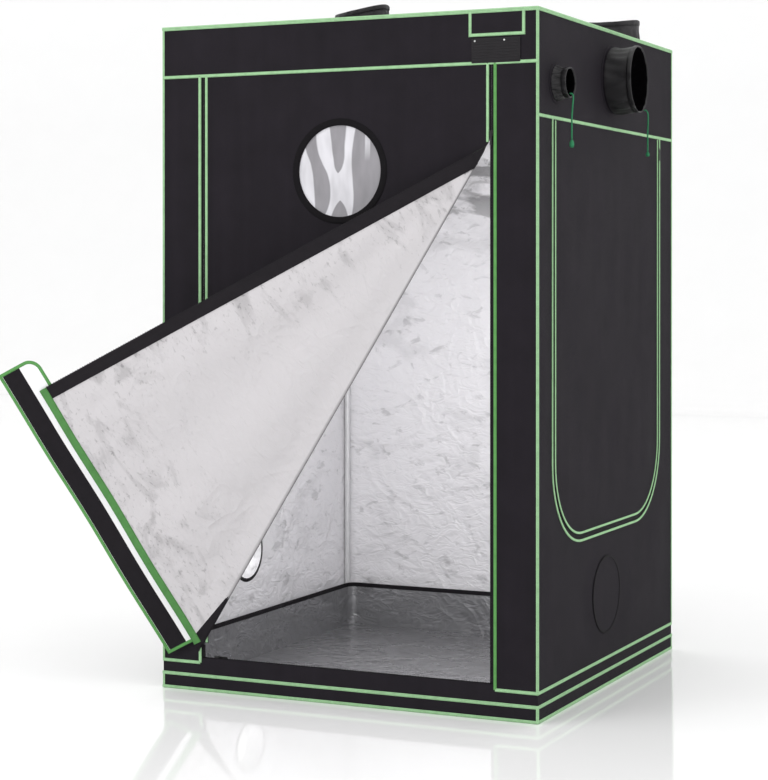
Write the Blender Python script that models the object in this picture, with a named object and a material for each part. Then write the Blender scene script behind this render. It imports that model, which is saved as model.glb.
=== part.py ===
"""Indoor grow tent: a steel tube frame in a sewn cover with a folded-back front door.

Metres, +Z up. The origin is the middle of the tent's footprint on the floor. +X is to the
viewer's right, -Y is the front. Each face of the cover has its own flat frame: u runs to the
right as seen from outside, v runs up, and w stands out of the cover.
"""
import bpy
import bmesh
from math import asin, atan2, cos, pi, radians, sin, sqrt
from mathutils import Euler, Matrix, Vector

# Cover, over its outer faces
WIDTH = 1.22
DEPTH = 1.22
HEIGHT = 2.0
CLOTH = 0.002
SEAM = 0.0003
TAPE = 0.0015
EDGE_BINDING = 0.012
LINE = 0.010
FRONT_HEADER = 0.150
SIDE_HEADER = 0.300
LOW_LINE_Z = 0.046
HEM_LINE_Z = 0.085
SILL = 0.100

# Front door, crease and storm flap
FRONT_POST = 0.134
ZIP_GAP = 0.013
DOOR_FOOT_GAP = 0.006
CREASE_DROP = 0.230
CREASE_FOOT = 0.125
FOLD_OPEN = radians(157)
FOLD_LIFT = 0.0002
CREASE_CLEAR = 0.008
FLAP_SWELL = 0.007
FLAP_SWELLS = 3
FLAP_COLUMNS = 24
FLAP_ROWS = 14
FLAP_HEM = 0.038
FOOT_BINDING = 0.018
STORM_LEFT = 0.425
STORM_RIGHT = 0.560
STORM_LOW = 0.015
STORM_DEEP = 0.130
STORM_CORNER = 0.040
STORM_BINDING = 0.010
STORM_CLOTH = 0.002
STORM_SEAM = 0.010
STORM_EDGE = 0.003
STORM_LAP = 0.001

# Window in the front door
WINDOW_X = -0.010
WINDOW_DROP = 0.445
WINDOW_RADIUS = 0.1335
WINDOW_RING = 0.020
FILM = 0.0008
FILM_LAP = 0.012

# Side door in the right wall
SIDE_POST = 0.126
SIDE_DOOR_SHIFT = -0.010
SIDE_DOOR_FOOT = 0.475
SIDE_DOOR_CORNER = 0.240
HINGE_GAP = 0.0005
HINGE_CLEAR = 0.0025

# Zips
ZIP_TAPE = 0.001
ZIP_TAPE_WIDE = 0.022
TEETH_GAP = 0.0006
TAPE_EDGE = 0.001
SLIDER_WIDE = 0.010
SLIDER_LONG = 0.016
SLIDER_DEEP = 0.006
SLIDER_EDGE = 0.0015
BRIDGE_LONG = 0.006
PULL_WIDE = 0.006
PULL_LONG = 0.034
PULL_THICK = 0.0015
FRONT_SLIDER_UP = 0.032
FOOT_SLIDER_INSET = 0.036
SIDE_SLIDER_DROP = 0.040

# Ports: place on the face, inner radius at the wall and at the mouth, and length
DUCT_PORT = (0.020, HEIGHT - 0.150)
DUCT_RADIUS = 0.098
DUCT_MOUTH_RADIUS = 0.098
DUCT_LONG = 0.085
CABLE_PORT = (-0.467, HEIGHT - 0.200)
CABLE_RADIUS = 0.047
CABLE_MOUTH_RADIUS = 0.034
CABLE_LONG = 0.045
ROOF_PORT_A = (-0.240, 0.0)
ROOF_PORT_B = (0.470, 0.430)
ROOF_RADIUS = 0.086
ROOF_MOUTH_RADIUS = 0.084
ROOF_LONG = 0.110
LOW_PORT = (0.100, 0.345)
LOW_RADIUS = 0.085
LOW_MOUTH_RADIUS = 0.085
LOW_LONG = 0.060
SLEEVE_CLOTH = 0.002
SLEEVE_FLANGE = 0.012
SLEEVE_HEM = 0.016
SLEEVE_HEM_THICK = 0.0045
PLEAT_DEEP = 0.0016
PLEATS = 9

# Low vent in the right wall
VENT = (-0.040, 0.285)
VENT_RADIUS = 0.108
VENT_COVER_RADIUS = 0.126
VENT_COVER_TOP = 0.114
VENT_NET_LAP = 0.008
NET_HOLE = 0.022
NET_BAR = 0.004

# Drawcords
CORD_RADIUS = 0.0025
KNOT_RADIUS = 0.0060
KNOT_LONG = 0.014
LOCK_RADIUS = 0.0070
LOCK_LONG = 0.022
BARREL_SHARES = ((0.55, -1), (0.9, -0.7), (1, -0.2), (0.95, 0.4), (0.6, 0.85), (0.45, 1))

# Label pocket and the small flap under it
LABEL_INSET = 0.210
LABEL_WIDE = 0.172
LABEL_DROP = 0.075
LABEL_FLAP_INSET = 0.010
LABEL_FLAP_WIDE = 0.148
LABEL_FLAP_DEEP = 0.070
LABEL_FLAP_DROP = 0.005
LABEL_FLAP_SEAM = 0.006

# Frame
TUBE_RADIUS = 0.0095
TUBE_WALL = 0.001
HUB = 0.024
HUB_EDGE = 0.0035
SPIGOT_LONG = 0.040
SPIGOT_CLEAR = 0.0003
JOINT_GROOVE = 0.001
JOINT_DEEP = 0.0006
BAR_RADIUS = 0.008
BAR_PLACE = 0.200
CLIP_WALL = 0.002
CLIP_LONG = 0.020

# Floor tray
TRAY_CLEAR = 0.006
TRAY_WALL = 0.0025
TRAY_HIGH = 0.150
TRAY_RIM = 0.014
TRAY_RIM_THICK = 0.0012
TRAY_CORNER = 0.030

TUBE_SIDES = 16
SLEEVE_SIDES = 36
ROUND_SIDES = 40
CORNER_STEPS = 8

HALF_W = WIDTH / 2
HALF_D = DEPTH / 2
ON = SEAM
PROUD = SEAM + TAPE
OVER = PROUD + SEAM
WALL_LOW = CLOTH + SEAM
WALL_HIGH = HEIGHT - CLOTH - SEAM
SIDE_HALF = HALF_D - CLOTH - SEAM
FRONT_HEAD = HEIGHT - FRONT_HEADER
CREASE_TOP = FRONT_HEAD - CREASE_DROP
WINDOW = (WINDOW_X, HEIGHT - WINDOW_DROP)
LABEL_LEFT = HALF_W - LABEL_INSET
LABEL_LOW = HEIGHT - LABEL_DROP
JOINT_Z = HEIGHT / 2
SIDE_HEAD = HEIGHT - SIDE_HEADER
OPEN_HALF = HALF_W - FRONT_POST
DOOR_HALF = OPEN_HALF - ZIP_GAP
DOOR_FOOT = SILL + DOOR_FOOT_GAP
TEETH = (OPEN_HALF + DOOR_HALF) / 2
CREASE_SLOPE = (CREASE_TOP - CREASE_FOOT) / (2 * DOOR_HALF)
CREASE_RISE = sqrt(1 + CREASE_SLOPE ** 2)
STORM_HIGH = STORM_LOW + STORM_DEEP
SIDE_OPEN_HALF = HALF_D - SIDE_POST
SIDE_DOOR_HALF = SIDE_OPEN_HALF - ZIP_GAP
SIDE_DOOR_TOP = SIDE_HEAD - LINE / 2 - SEAM
SIDE_TEETH = (SIDE_OPEN_HALF + SIDE_DOOR_HALF) / 2
TUBE_X = HALF_W - CLOTH - SEAM - HUB / 2
TUBE_Y = HALF_D - CLOTH - SEAM - HUB / 2
TUBE_LOW = CLOTH + SEAM + HUB / 2
TUBE_HIGH = HEIGHT - CLOTH - SEAM - HUB / 2
HUB_FACE = HUB / 2 + SEAM
SPIGOT_RADIUS = TUBE_RADIUS - TUBE_WALL - SPIGOT_CLEAR

FACES = {
    "front": ((0, -HALF_D, 0), (pi / 2, 0, 0)),
    "right": ((HALF_W, 0, 0), (pi / 2, 0, pi / 2)),
    "back": ((0, HALF_D, 0), (pi / 2, 0, pi)),
    "left": ((-HALF_W, 0, 0), (pi / 2, 0, -pi / 2)),
    "roof": ((0, 0, HEIGHT), (0, 0, 0)),
    "floor": ((0, 0, 0), (pi, 0, 0)),
    "ground": ((0, 0, 0), (0, 0, 0)),
}

FINISHES = {
    "black_cloth": ((0.030, 0.028, 0.031), 0.62, 0.0),
    "silver_lining": ((0.68, 0.66, 0.68), 0.34, 0.55),
    "pale_piping": ((0.42, 0.70, 0.38), 0.55, 0.0),
    "green_piping": ((0.13, 0.36, 0.12), 0.55, 0.0),
    "white_lining": ((0.86, 0.86, 0.87), 0.6, 0.0),
    "black_tape": ((0.018, 0.017, 0.019), 0.75, 0.0),
    "clear_film": ((0.75, 0.74, 0.76), 0.12, 0.0),
    "frame_paint": ((0.80, 0.80, 0.80), 0.35, 0.1),
    "fitting_plastic": ((0.025, 0.025, 0.025), 0.5, 0.0),
    "slider_metal": ((0.05, 0.05, 0.05), 0.4, 0.8),
    "cord_green": ((0.05, 0.34, 0.15), 0.7, 0.0),
    "net": ((0.02, 0.02, 0.02), 0.8, 0.0),
}


def finish(name):
    """The material called name, made once."""
    made = bpy.data.materials.get(name)
    if made:
        return made
    colour, roughness, metallic = FINISHES[name]
    made = bpy.data.materials.new(name)
    made.use_nodes = True
    shader = made.node_tree.nodes["Principled BSDF"]
    shader.inputs["Base Color"].default_value = (*colour, 1)
    shader.inputs["Roughness"].default_value = roughness
    shader.inputs["Metallic"].default_value = metallic
    if name == "clear_film":
        shader.inputs["Alpha"].default_value = 0.6
    return made


def add(name, bm, material, location=(0, 0, 0), rotation=(0, 0, 0), parent=None, smooth=None, laps=None):
    """Turn a bmesh into a named object. Laps are further closed shapes that it is fused with."""
    bmesh.ops.recalc_face_normals(bm, faces=bm.faces)
    mesh = bpy.data.meshes.new(name)
    bm.to_mesh(mesh)
    bm.free()
    if smooth is not None:
        mesh.shade_smooth()
        mesh.set_sharp_from_angle(angle=smooth)
    mesh.materials.append(finish(material))
    made = bpy.data.objects.new(name, mesh)
    bpy.context.scene.collection.objects.link(made)
    made.location = location
    made.rotation_euler = rotation
    if parent:
        made.parent = parent
        made.location = Vector(location) - Vector(parent["at"])
    if laps:
        other = add(name + "_laps", laps, material, location, rotation, parent)
        other.hide_render = True
        other.display_type = "WIRE"
        union = made.modifiers.new("laps", "BOOLEAN")
        union.operation = "UNION"
        union.solver = "EXACT"
        union.use_self = True
        union.object = other
    return made


def hinge_empty(name, at, rotation=None, parent=None):
    """An empty on a joint's axis. Its pieces are placed in the cover's frame, as when shut."""
    made = bpy.data.objects.new(name, None)
    bpy.context.scene.collection.objects.link(made)
    made["at"] = Vector(at)[:]
    made.location = at
    if parent:
        made.parent = parent
        made.location = Vector(at) - Vector(parent["at"])
    if rotation:
        made.rotation_mode = "QUATERNION"
        made.rotation_quaternion = rotation
    return made


def rect(left, low, right, high):
    return [(left, low), (right, low), (right, high), (left, high)]


def circle(middle, radius, sides=ROUND_SIDES):
    turn = 2 * pi / sides
    return [(middle[0] + radius * cos(i * turn), middle[1] + radius * sin(i * turn)) for i in range(sides)]


def u_run(half, foot, corner, top, middle=0.0):
    """A U from its left top, down round the foot, to its right top."""
    points = [(middle - half, top)]
    for side, start in ((-1, pi), (1, 1.5 * pi)):
        centre = (middle + side * (half - corner), foot + corner)
        for step in range(CORNER_STEPS + 1):
            angle = start + step * (pi / 2) / CORNER_STEPS
            points.append((centre[0] + corner * cos(angle), centre[1] + corner * sin(angle)))
    points.append((middle + half, top))
    return points


def crease_z(u):
    return CREASE_FOOT + (u + DOOR_HALF) * CREASE_SLOPE


def fill_slab(bm, loops, low, high):
    """Add a flat plate with the given outline and holes, between two heights."""
    edges = []
    for loop in loops:
        verts = [bm.verts.new((u, v, low)) for u, v in loop]
        edges += [bm.edges.new((verts[i - 1], verts[i])) for i in range(len(verts))]
    made = bmesh.ops.triangle_fill(bm, use_beauty=True, edges=edges)
    faces = [item for item in made["geom"] if isinstance(item, bmesh.types.BMFace)]
    raised = bmesh.ops.extrude_face_region(bm, geom=faces, use_keep_orig=True)
    verts = [item for item in raised["geom"] if isinstance(item, bmesh.types.BMVert)]
    bmesh.ops.translate(bm, verts=verts, vec=(0, 0, high - low))


def on_face(face):
    """The matrix that takes a face's own (u, v, w) to the cover's frame."""
    location, rotation = FACES[face]
    return Matrix.Translation(location) @ Euler(rotation).to_matrix().to_4x4()


def slab(name, face, loops, low, high, material, parent=None, laps=()):
    """One plate lying on a face of the cover. Laps are plates that it is fused with."""
    bm = bmesh.new()
    fill_slab(bm, loops, low, high)
    others = bmesh.new() if laps else None
    for more, foot, head in laps:
        fill_slab(others, more, foot, head)
    location, rotation = FACES[face]
    return add(name, bm, material, location, rotation, parent, laps=others)


def around(bm, stations, profile, closed):
    """Sweep a profile of (outward, z) round stations of (x, y, outward x, outward y)."""
    rings = [[bm.verts.new((x + dx * out, y + dy * out, z)) for out, z in profile]
             for x, y, dx, dy in stations]
    count = len(rings) if closed else len(rings) - 1
    for i in range(count):
        near, far = rings[i], rings[(i + 1) % len(rings)]
        for j in range(len(profile)):
            bm.faces.new((near[j - 1], near[j], far[j], far[j - 1]))
    if not closed:
        bm.faces.new(rings[0])
        bm.faces.new(rings[-1])


def turn_profile(bm, profile, steps):
    """Spin a closed profile of (radius, height) about Z."""
    verts = [bm.verts.new((radius, 0, height)) for radius, height in profile]
    edges = [bm.edges.new((verts[i - 1], verts[i])) for i in range(len(verts))]
    bmesh.ops.spin(bm, geom=verts + edges, cent=(0, 0, 0), axis=(0, 0, 1), dvec=(0, 0, 0),
                   angle=2 * pi, steps=steps, use_merge=True, use_duplicate=False)


def rounded_rectangle(half_x, half_y, corner):
    points = []
    for quarter, (sx, sy) in enumerate(((1, 1), (-1, 1), (-1, -1), (1, -1))):
        for step in range(CORNER_STEPS // 2 + 1):
            angle = (quarter + step / (CORNER_STEPS // 2)) * pi / 2
            points.append((sx * (half_x - corner) + corner * cos(angle),
                           sy * (half_y - corner) + corner * sin(angle)))
    return points


def loft(bm, loops):
    """Bridge loops of (points, z) in order and close both ends."""
    rings = [[bm.verts.new((x, y, z)) for x, y in points] for points, z in loops]
    for near, far in zip(rings, rings[1:]):
        for j in range(len(near)):
            bm.faces.new((near[j - 1], near[j], far[j], far[j - 1]))
    bm.faces.new(rings[0])
    bm.faces.new(rings[-1])


def corner_binding(bm, low, high):
    """The L-shaped bindings of the four upright corners, between two heights."""
    arms = [(-EDGE_BINDING, ON), (ON, ON), (ON, -EDGE_BINDING), (PROUD, -EDGE_BINDING), (PROUD, PROUD),
            (-EDGE_BINDING, PROUD)]
    for sx, sy in ((-1, -1), (1, -1), (1, 1), (-1, 1)):
        fill_slab(bm, [[(sx * (HALF_W + out_x), sy * (HALF_D + out_y)) for out_x, out_y in arms]], low, high)


def make_cover():
    """The sewn panels of the cover, and its floor."""
    slab("roof_panel", "roof", [rect(-HALF_W, -HALF_D, HALF_W, HALF_D), circle(ROOF_PORT_A, ROOF_RADIUS),
                                circle(ROOF_PORT_B, ROOF_RADIUS)], -CLOTH, 0, "black_cloth")
    slab("floor_panel", "floor", [rect(-HALF_W, -HALF_D, HALF_W, HALF_D)], -CLOTH, 0, "black_cloth")
    wall = rect(-HALF_W, WALL_LOW, HALF_W, WALL_HIGH)
    opening = rect(-OPEN_HALF, SILL, OPEN_HALF, FRONT_HEAD)
    slab("front_panel", "front", [wall, opening], -CLOTH, 0, "black_cloth")
    slab("back_panel", "back", [wall], -CLOTH, 0, "black_cloth")
    wall = rect(-SIDE_HALF, WALL_LOW, SIDE_HALF, WALL_HIGH)
    port = circle(LOW_PORT, LOW_RADIUS + SLEEVE_CLOTH + SEAM)
    slab("left_panel", "left", [wall, port], -CLOTH, 0, "black_cloth")
    head = SIDE_DOOR_TOP + HINGE_GAP
    opening = u_run(SIDE_OPEN_HALF, SIDE_DOOR_FOOT, SIDE_DOOR_CORNER, head, SIDE_DOOR_SHIFT)
    ports = [circle(DUCT_PORT, DUCT_RADIUS), circle(CABLE_PORT, CABLE_RADIUS), circle(VENT, VENT_RADIUS)]
    slab("right_panel", "right", [wall, opening, *ports], -CLOTH, 0, "black_cloth")


def line_band(bm, stations, middle, closed=True):
    """A piping line that runs round the corners of the cover."""
    low, high = middle - LINE / 2, middle + LINE / 2
    around(bm, stations, [(ON, low), (PROUD, low), (PROUD, high), (ON, high)], closed)


def make_cover_piping():
    """Pale bindings on every edge of the cover, and the piping lines on its faces."""
    corners = [(sx * HALF_W, sy * HALF_D, sx, sy) for sx, sy in ((-1, -1), (1, -1), (1, 1), (-1, 1))]
    head = bmesh.new()
    top = [(ON, HEIGHT - EDGE_BINDING), (PROUD, HEIGHT - EDGE_BINDING), (PROUD, HEIGHT + PROUD),
           (-EDGE_BINDING, HEIGHT + PROUD), (-EDGE_BINDING, HEIGHT + ON), (ON, HEIGHT + ON)]
    around(head, corners, top, True)
    laps = bmesh.new()
    corner_binding(laps, HEM_LINE_Z - LINE / 2, HEIGHT - EDGE_BINDING / 2)
    start = OPEN_HALF + SEAM
    hem = [(start, -HALF_D, 0, -1), corners[1], corners[2], corners[3], corners[0], (-start, -HALF_D, 0, -1)]
    line_band(laps, hem, HEM_LINE_Z, False)
    for face, loops in face_lines().items():
        before = len(laps.verts)
        for loop in loops:
            fill_slab(laps, [loop], ON, PROUD)
        laps.verts.ensure_lookup_table()
        bmesh.ops.transform(laps, matrix=on_face(face), verts=laps.verts[before:])
    add("cover_piping", head, "pale_piping", laps=laps)
    foot = bmesh.new()
    around(foot, corners, [(ON, SEAM), (PROUD, SEAM), (PROUD, EDGE_BINDING), (ON, EDGE_BINDING)], True)
    laps = bmesh.new()
    line_band(laps, corners, LOW_LINE_Z)
    corner_binding(laps, EDGE_BINDING / 2, LOW_LINE_Z)
    add("foot_piping", foot, "pale_piping", laps=laps)


def face_lines():
    """The piping lines that lie flat on one face each, as outlines by face. They lap where they meet."""
    front = [rect(-HALF_W, FRONT_HEAD - LINE / 2, HALF_W, FRONT_HEAD + LINE / 2)]
    for side in (-1, 1):
        edges = sorted((side * (OPEN_HALF + SEAM), side * (OPEN_HALF + SEAM + LINE)))
        front.append(rect(edges[0], HEM_LINE_Z - LINE / 2, edges[1], FRONT_HEAD))
    clear = CREASE_CLEAR * CREASE_RISE
    for left in (-DOOR_HALF, DOOR_HALF - LINE):
        right = left + LINE
        front.append([(left, crease_z(left) + clear), (right, crease_z(right) + clear), (right, FRONT_HEAD),
                      (left, FRONT_HEAD)])
    high = HEIGHT - EDGE_BINDING / 2
    right = LABEL_LEFT + LABEL_WIDE
    foot = LABEL_LOW + LINE
    near, far = LABEL_LEFT + LINE, right - LINE
    front.append([(LABEL_LEFT, high), (LABEL_LEFT, LABEL_LOW), (right, LABEL_LOW), (right, high),
                  (far, high), (far, foot), (near, foot), (near, high)])
    header = rect(-HALF_D, SIDE_HEAD - LINE / 2, HALF_D, SIDE_HEAD + LINE / 2)
    half = SIDE_OPEN_HALF + SEAM
    foot = SIDE_DOOR_FOOT - SEAM
    outer = u_run(half + LINE, foot - LINE, SIDE_DOOR_CORNER + LINE, SIDE_HEAD, SIDE_DOOR_SHIFT)
    inner = u_run(half, foot, SIDE_DOOR_CORNER, SIDE_HEAD, SIDE_DOOR_SHIFT)
    back = rect(-HALF_W, SIDE_HEAD - LINE / 2, HALF_W, SIDE_HEAD + LINE / 2)
    return {"front": front, "right": [header, outer + inner[::-1]], "left": [header], "back": [back]}


def make_front_door():
    """The part of the front door above the crease, with its round window."""
    rise = SEAM / 2 * CREASE_RISE
    outline = [(-DOOR_HALF, CREASE_FOOT + rise), (DOOR_HALF, CREASE_TOP + rise),
               (DOOR_HALF, FRONT_HEAD - SEAM), (-DOOR_HALF, FRONT_HEAD - SEAM)]
    hole = circle(WINDOW, WINDOW_RADIUS)
    slab("door_upper", "front", [outline, hole], -CLOTH, 0, "black_cloth")
    ring = [circle(WINDOW, WINDOW_RADIUS + WINDOW_RING), hole]
    slab("window_ring", "front", ring, ON, PROUD, "black_tape")
    inside = -CLOTH - SEAM
    film = [circle(WINDOW, WINDOW_RADIUS + FILM_LAP)]
    slab("window_film", "front", film, inside - FILM, inside, "clear_film")


def flap_point(i, j):
    """A point of the door flap when shut. It is flat under its hem tape and its storm flap."""
    rise = SEAM / 2 * CREASE_RISE
    swell_right = DOOR_HALF - FLAP_HEM
    across = i / FLAP_COLUMNS
    u = DOOR_HALF if i > FLAP_COLUMNS else -DOOR_HALF + (swell_right + DOOR_HALF) * across
    near = crease_z(u) - rise
    flat = min(STORM_HIGH, (near + DOOR_FOOT) / 2)
    down = j / FLAP_ROWS
    if i > FLAP_COLUMNS or j > FLAP_ROWS:
        return Vector((u, DOOR_FOOT if j > FLAP_ROWS else near + (flat - near) * down, 0))
    swell = FLAP_SWELL * sin(pi * across) * sin(pi * down) * cos(FLAP_SWELLS * pi * across)
    return Vector((u, near + (flat - near) * down, swell))


def make_flap(hinge):
    """The folded part of the front door, with shallow folds that run down from the slider."""
    bm = bmesh.new()
    columns, rows = FLAP_COLUMNS + 1, FLAP_ROWS + 1
    outer, inner = [[[bm.verts.new(flap_point(i, j) + Vector((0, 0, level))) for i in range(columns + 1)]
                     for j in range(rows + 1)] for level in (0, -CLOTH)]
    rims = []
    for layer in (outer, inner):
        for j in range(rows):
            for i in range(columns):
                bm.faces.new((layer[j][i], layer[j][i + 1], layer[j + 1][i + 1], layer[j + 1][i]))
        rim = [layer[0][i] for i in range(columns)] + [layer[j][columns] for j in range(rows)]
        rim += [layer[rows][i] for i in range(columns, 0, -1)] + [layer[j][0] for j in range(rows, 0, -1)]
        rims.append(rim)
    for i in range(len(rims[0])):
        bm.faces.new((rims[0][i - 1], rims[0][i], rims[1][i], rims[1][i - 1]))
    add("door_flap", bm, "silver_lining", *FACES["front"], parent=hinge, smooth=radians(40))

    clear = CREASE_CLEAR * CREASE_RISE
    left = DOOR_HALF - LINE
    edge = [(left, DOOR_FOOT), (DOOR_HALF, DOOR_FOOT), (DOOR_HALF, CREASE_TOP - clear),
            (left, crease_z(left) - clear)]
    start = -DOOR_HALF + EDGE_BINDING
    inside = -CLOTH - SEAM
    wrap = [([rect(start, DOOR_FOOT - PROUD, DOOR_HALF, DOOR_FOOT + LINE)], ON, PROUD),
            ([rect(start, DOOR_FOOT - PROUD, DOOR_HALF, DOOR_FOOT - ON)], inside - TAPE, PROUD),
            ([rect(start, DOOR_FOOT - PROUD, DOOR_HALF, DOOR_FOOT + FOOT_BINDING)], inside - TAPE, inside)]
    slab("flap_binding", "front", [edge], ON, PROUD, "green_piping", hinge, wrap)
    left = DOOR_HALF - FLAP_HEM
    right = DOOR_HALF + TAPE_EDGE
    foot = DOOR_FOOT + FOOT_BINDING + SEAM
    tape = [(left, foot), (right, foot), (right, crease_z(right) - clear), (left, crease_z(left) - clear)]
    slab("flap_zip_tape", "front", [tape], inside - ZIP_TAPE, inside, "black_tape", hinge)


def storm_outline(inset):
    corner = STORM_CORNER - inset
    left, right = -STORM_LEFT + inset, STORM_RIGHT - inset
    high, low = STORM_HIGH - inset, STORM_LOW + inset
    points = [(left, low), (right, low)]
    for centre, start in (((right - corner, high - corner), 0), ((left + corner, high - corner), pi / 2)):
        for step in range(CORNER_STEPS + 1):
            angle = start + step * (pi / 2) / CORNER_STEPS
            points.append((centre[0] + corner * cos(angle), centre[1] + corner * sin(angle)))
    return points


def make_storm_flap(hinge):
    """The long strip sewn low on the door's outer face, which covers the foot zip and the sill."""
    foot = OVER + (STORM_EDGE - STORM_CLOTH) / 2
    seam_top = STORM_HIGH - STORM_BINDING - SEAM
    seam = rect(-STORM_LEFT + STORM_CORNER, seam_top - STORM_SEAM, DOOR_HALF - LINE - SEAM, seam_top)
    cloth = [storm_outline(STORM_BINDING + SEAM)]
    slab("storm_flap", "front", cloth, foot, foot + STORM_CLOTH, "white_lining", hinge,
         [([seam], ON, foot + STORM_LAP)])
    ring = [storm_outline(0), storm_outline(STORM_BINDING)]
    slab("storm_flap_binding", "front", ring, OVER, OVER + STORM_EDGE, "green_piping", hinge)


def make_side_door(hinge):
    """The U-shaped door of the right wall, hung from the header seam."""
    foot = SIDE_DOOR_FOOT + ZIP_GAP
    corner = SIDE_DOOR_CORNER - ZIP_GAP
    outline = u_run(SIDE_DOOR_HALF, foot, corner, SIDE_DOOR_TOP, SIDE_DOOR_SHIFT)
    slab("side_door", "right", [outline], -CLOTH, 0, "black_cloth", hinge)
    under = SIDE_DOOR_TOP - HINGE_CLEAR
    outer = u_run(SIDE_DOOR_HALF, foot, corner, under, SIDE_DOOR_SHIFT)
    inner = u_run(SIDE_DOOR_HALF - LINE, foot + LINE, corner - LINE, under, SIDE_DOOR_SHIFT)
    slab("side_door_piping", "right", [outer + inner[::-1]], ON, PROUD, "pale_piping", hinge)
    inside = -CLOTH - SEAM
    outer = u_run(SIDE_DOOR_HALF + TAPE_EDGE, foot - TAPE_EDGE, corner + TAPE_EDGE, under, SIDE_DOOR_SHIFT)
    lap = ZIP_TAPE_WIDE - ZIP_GAP / 2
    inner = u_run(SIDE_DOOR_HALF - lap, foot + lap, corner - lap, under, SIDE_DOOR_SHIFT)
    tape = [outer + inner[::-1]]
    slab("side_door_zip_tape", "right", tape, inside - ZIP_TAPE, inside, "black_tape", hinge)


def make_shell_zips():
    """The zip tapes on the cover, behind its cloth. Above the crease the front zips are shut."""
    inside = -CLOTH - SEAM
    lap = ZIP_TAPE_WIDE - ZIP_GAP / 2
    half_gap = TEETH_GAP / 2
    foot = SILL - lap
    clear = CREASE_CLEAR * CREASE_RISE
    across = rect(-OPEN_HALF - lap, foot, OPEN_HALF + lap, SILL + DOOR_FOOT_GAP / 2 - half_gap)
    laps = []
    for side in (-1, 1):
        shell = sorted((side * (TEETH + half_gap), side * (OPEN_HALF + lap)))
        laps.append(([rect(shell[0], foot, shell[1], FRONT_HEAD - SEAM)], inside - ZIP_TAPE, inside))
        shut = sorted((side * (TEETH + half_gap + lap / 2), side * (DOOR_HALF - lap)))
        run = [(shut[0], crease_z(shut[0]) + clear), (shut[1], crease_z(shut[1]) + clear),
               (shut[1], FRONT_HEAD - SEAM), (shut[0], FRONT_HEAD - SEAM)]
        laps.append(([run], inside - ZIP_TAPE, inside))
    slab("front_zip_tape", "front", [across], inside - ZIP_TAPE, inside, "black_tape", laps=laps)
    under = SIDE_DOOR_TOP - HINGE_CLEAR
    shrink = (ZIP_GAP - TEETH_GAP) / 2
    outer, inner = [u_run(SIDE_OPEN_HALF + grow, SIDE_DOOR_FOOT - grow, SIDE_DOOR_CORNER + grow, under,
                          SIDE_DOOR_SHIFT) for grow in (lap, -shrink)]
    slab("side_zip_tape", "right", [outer + inner[::-1]], inside - ZIP_TAPE, inside, "black_tape")


def make_slider(name, face, u, v, base, upright, outward=1):
    """A zip slider with its bridge and pull. base is the height of its foot over the outer face."""
    full = (SLIDER_WIDE / 2, SLIDER_LONG / 2)
    slim = (full[0] - SLIDER_EDGE, full[1] - SLIDER_EDGE)
    if not upright:
        full, slim = full[::-1], slim[::-1]
    bm = bmesh.new()
    heights = [0, SLIDER_EDGE, SLIDER_DEEP - SLIDER_EDGE, SLIDER_DEEP]
    loft(bm, [(rect(u - half_u, v - half_v, u + half_u, v + half_v), base + outward * height)
              for (half_u, half_v), height in zip((slim, full, full, slim), heights)])
    half = PULL_WIDE / 2
    if upright:
        pull = rect(u - half, v - PULL_LONG, u + half, v + half)
        bridge = rect(u - half, v - half, u + half, v - half + BRIDGE_LONG)
    else:
        pull = rect(u - half, v - half, u + PULL_LONG, v + half)
        bridge = rect(u - half, v - half, u - half + BRIDGE_LONG, v + half)
    laps = bmesh.new()
    under = base + outward * (SLIDER_DEEP + SEAM)
    over = under + outward * PULL_THICK
    fill_slab(laps, [pull], min(under, over), max(under, over))
    root = base + outward * (SLIDER_DEEP - SLIDER_EDGE)
    fill_slab(laps, [bridge], min(root, over), max(root, over))
    location, rotation = FACES[face]
    add(name, bm, "slider_metal", location, rotation, laps=laps)


def make_sliders():
    base = -CLOTH
    make_slider("front_zip_slider", "front", TEETH, CREASE_TOP + FRONT_SLIDER_UP, base, True)
    side_u = SIDE_DOOR_SHIFT + SIDE_TEETH
    make_slider("side_zip_slider", "right", side_u, SIDE_HEAD - SIDE_SLIDER_DROP, base, True)
    foot_v = SILL + DOOR_FOOT_GAP / 2
    inner = -CLOTH - SEAM - TAPE - SEAM
    make_slider("foot_zip_slider", "front", -DOOR_HALF + FOOT_SLIDER_INSET, foot_v, inner, False, -1)


def sleeve_profile(radius, mouth, length, through):
    """Closed section of a port sleeve: flange, wall and drawcord hem. through passes the wall."""
    hem = length - SLEEVE_HEM
    run = [(radius + (mouth - radius) * share, PROUD + (hem - PROUD) * share) for share in (1 / 3, 2 / 3, 1)]
    outer = [(r + SLEEVE_CLOTH, h) for r, h in run]
    inner = [(r, h) for r, h in reversed(run)]
    tip = [(mouth + SLEEVE_HEM_THICK, hem), (mouth + SLEEVE_HEM_THICK, length), (mouth, length)]
    if through:
        back = -CLOTH - SEAM
        start = [(radius, back - TAPE), (radius + SLEEVE_FLANGE, back - TAPE),
                 (radius + SLEEVE_FLANGE, back), (radius + SLEEVE_CLOTH, back), (radius + SLEEVE_CLOTH, ON)]
    else:
        start = [(radius, ON)]
    flange = [(radius + SLEEVE_FLANGE, ON), (radius + SLEEVE_FLANGE, PROUD), (radius + SLEEVE_CLOTH, PROUD)]
    return start + flange + outer + tip + inner[1:] + [(radius, PROUD)]


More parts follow.
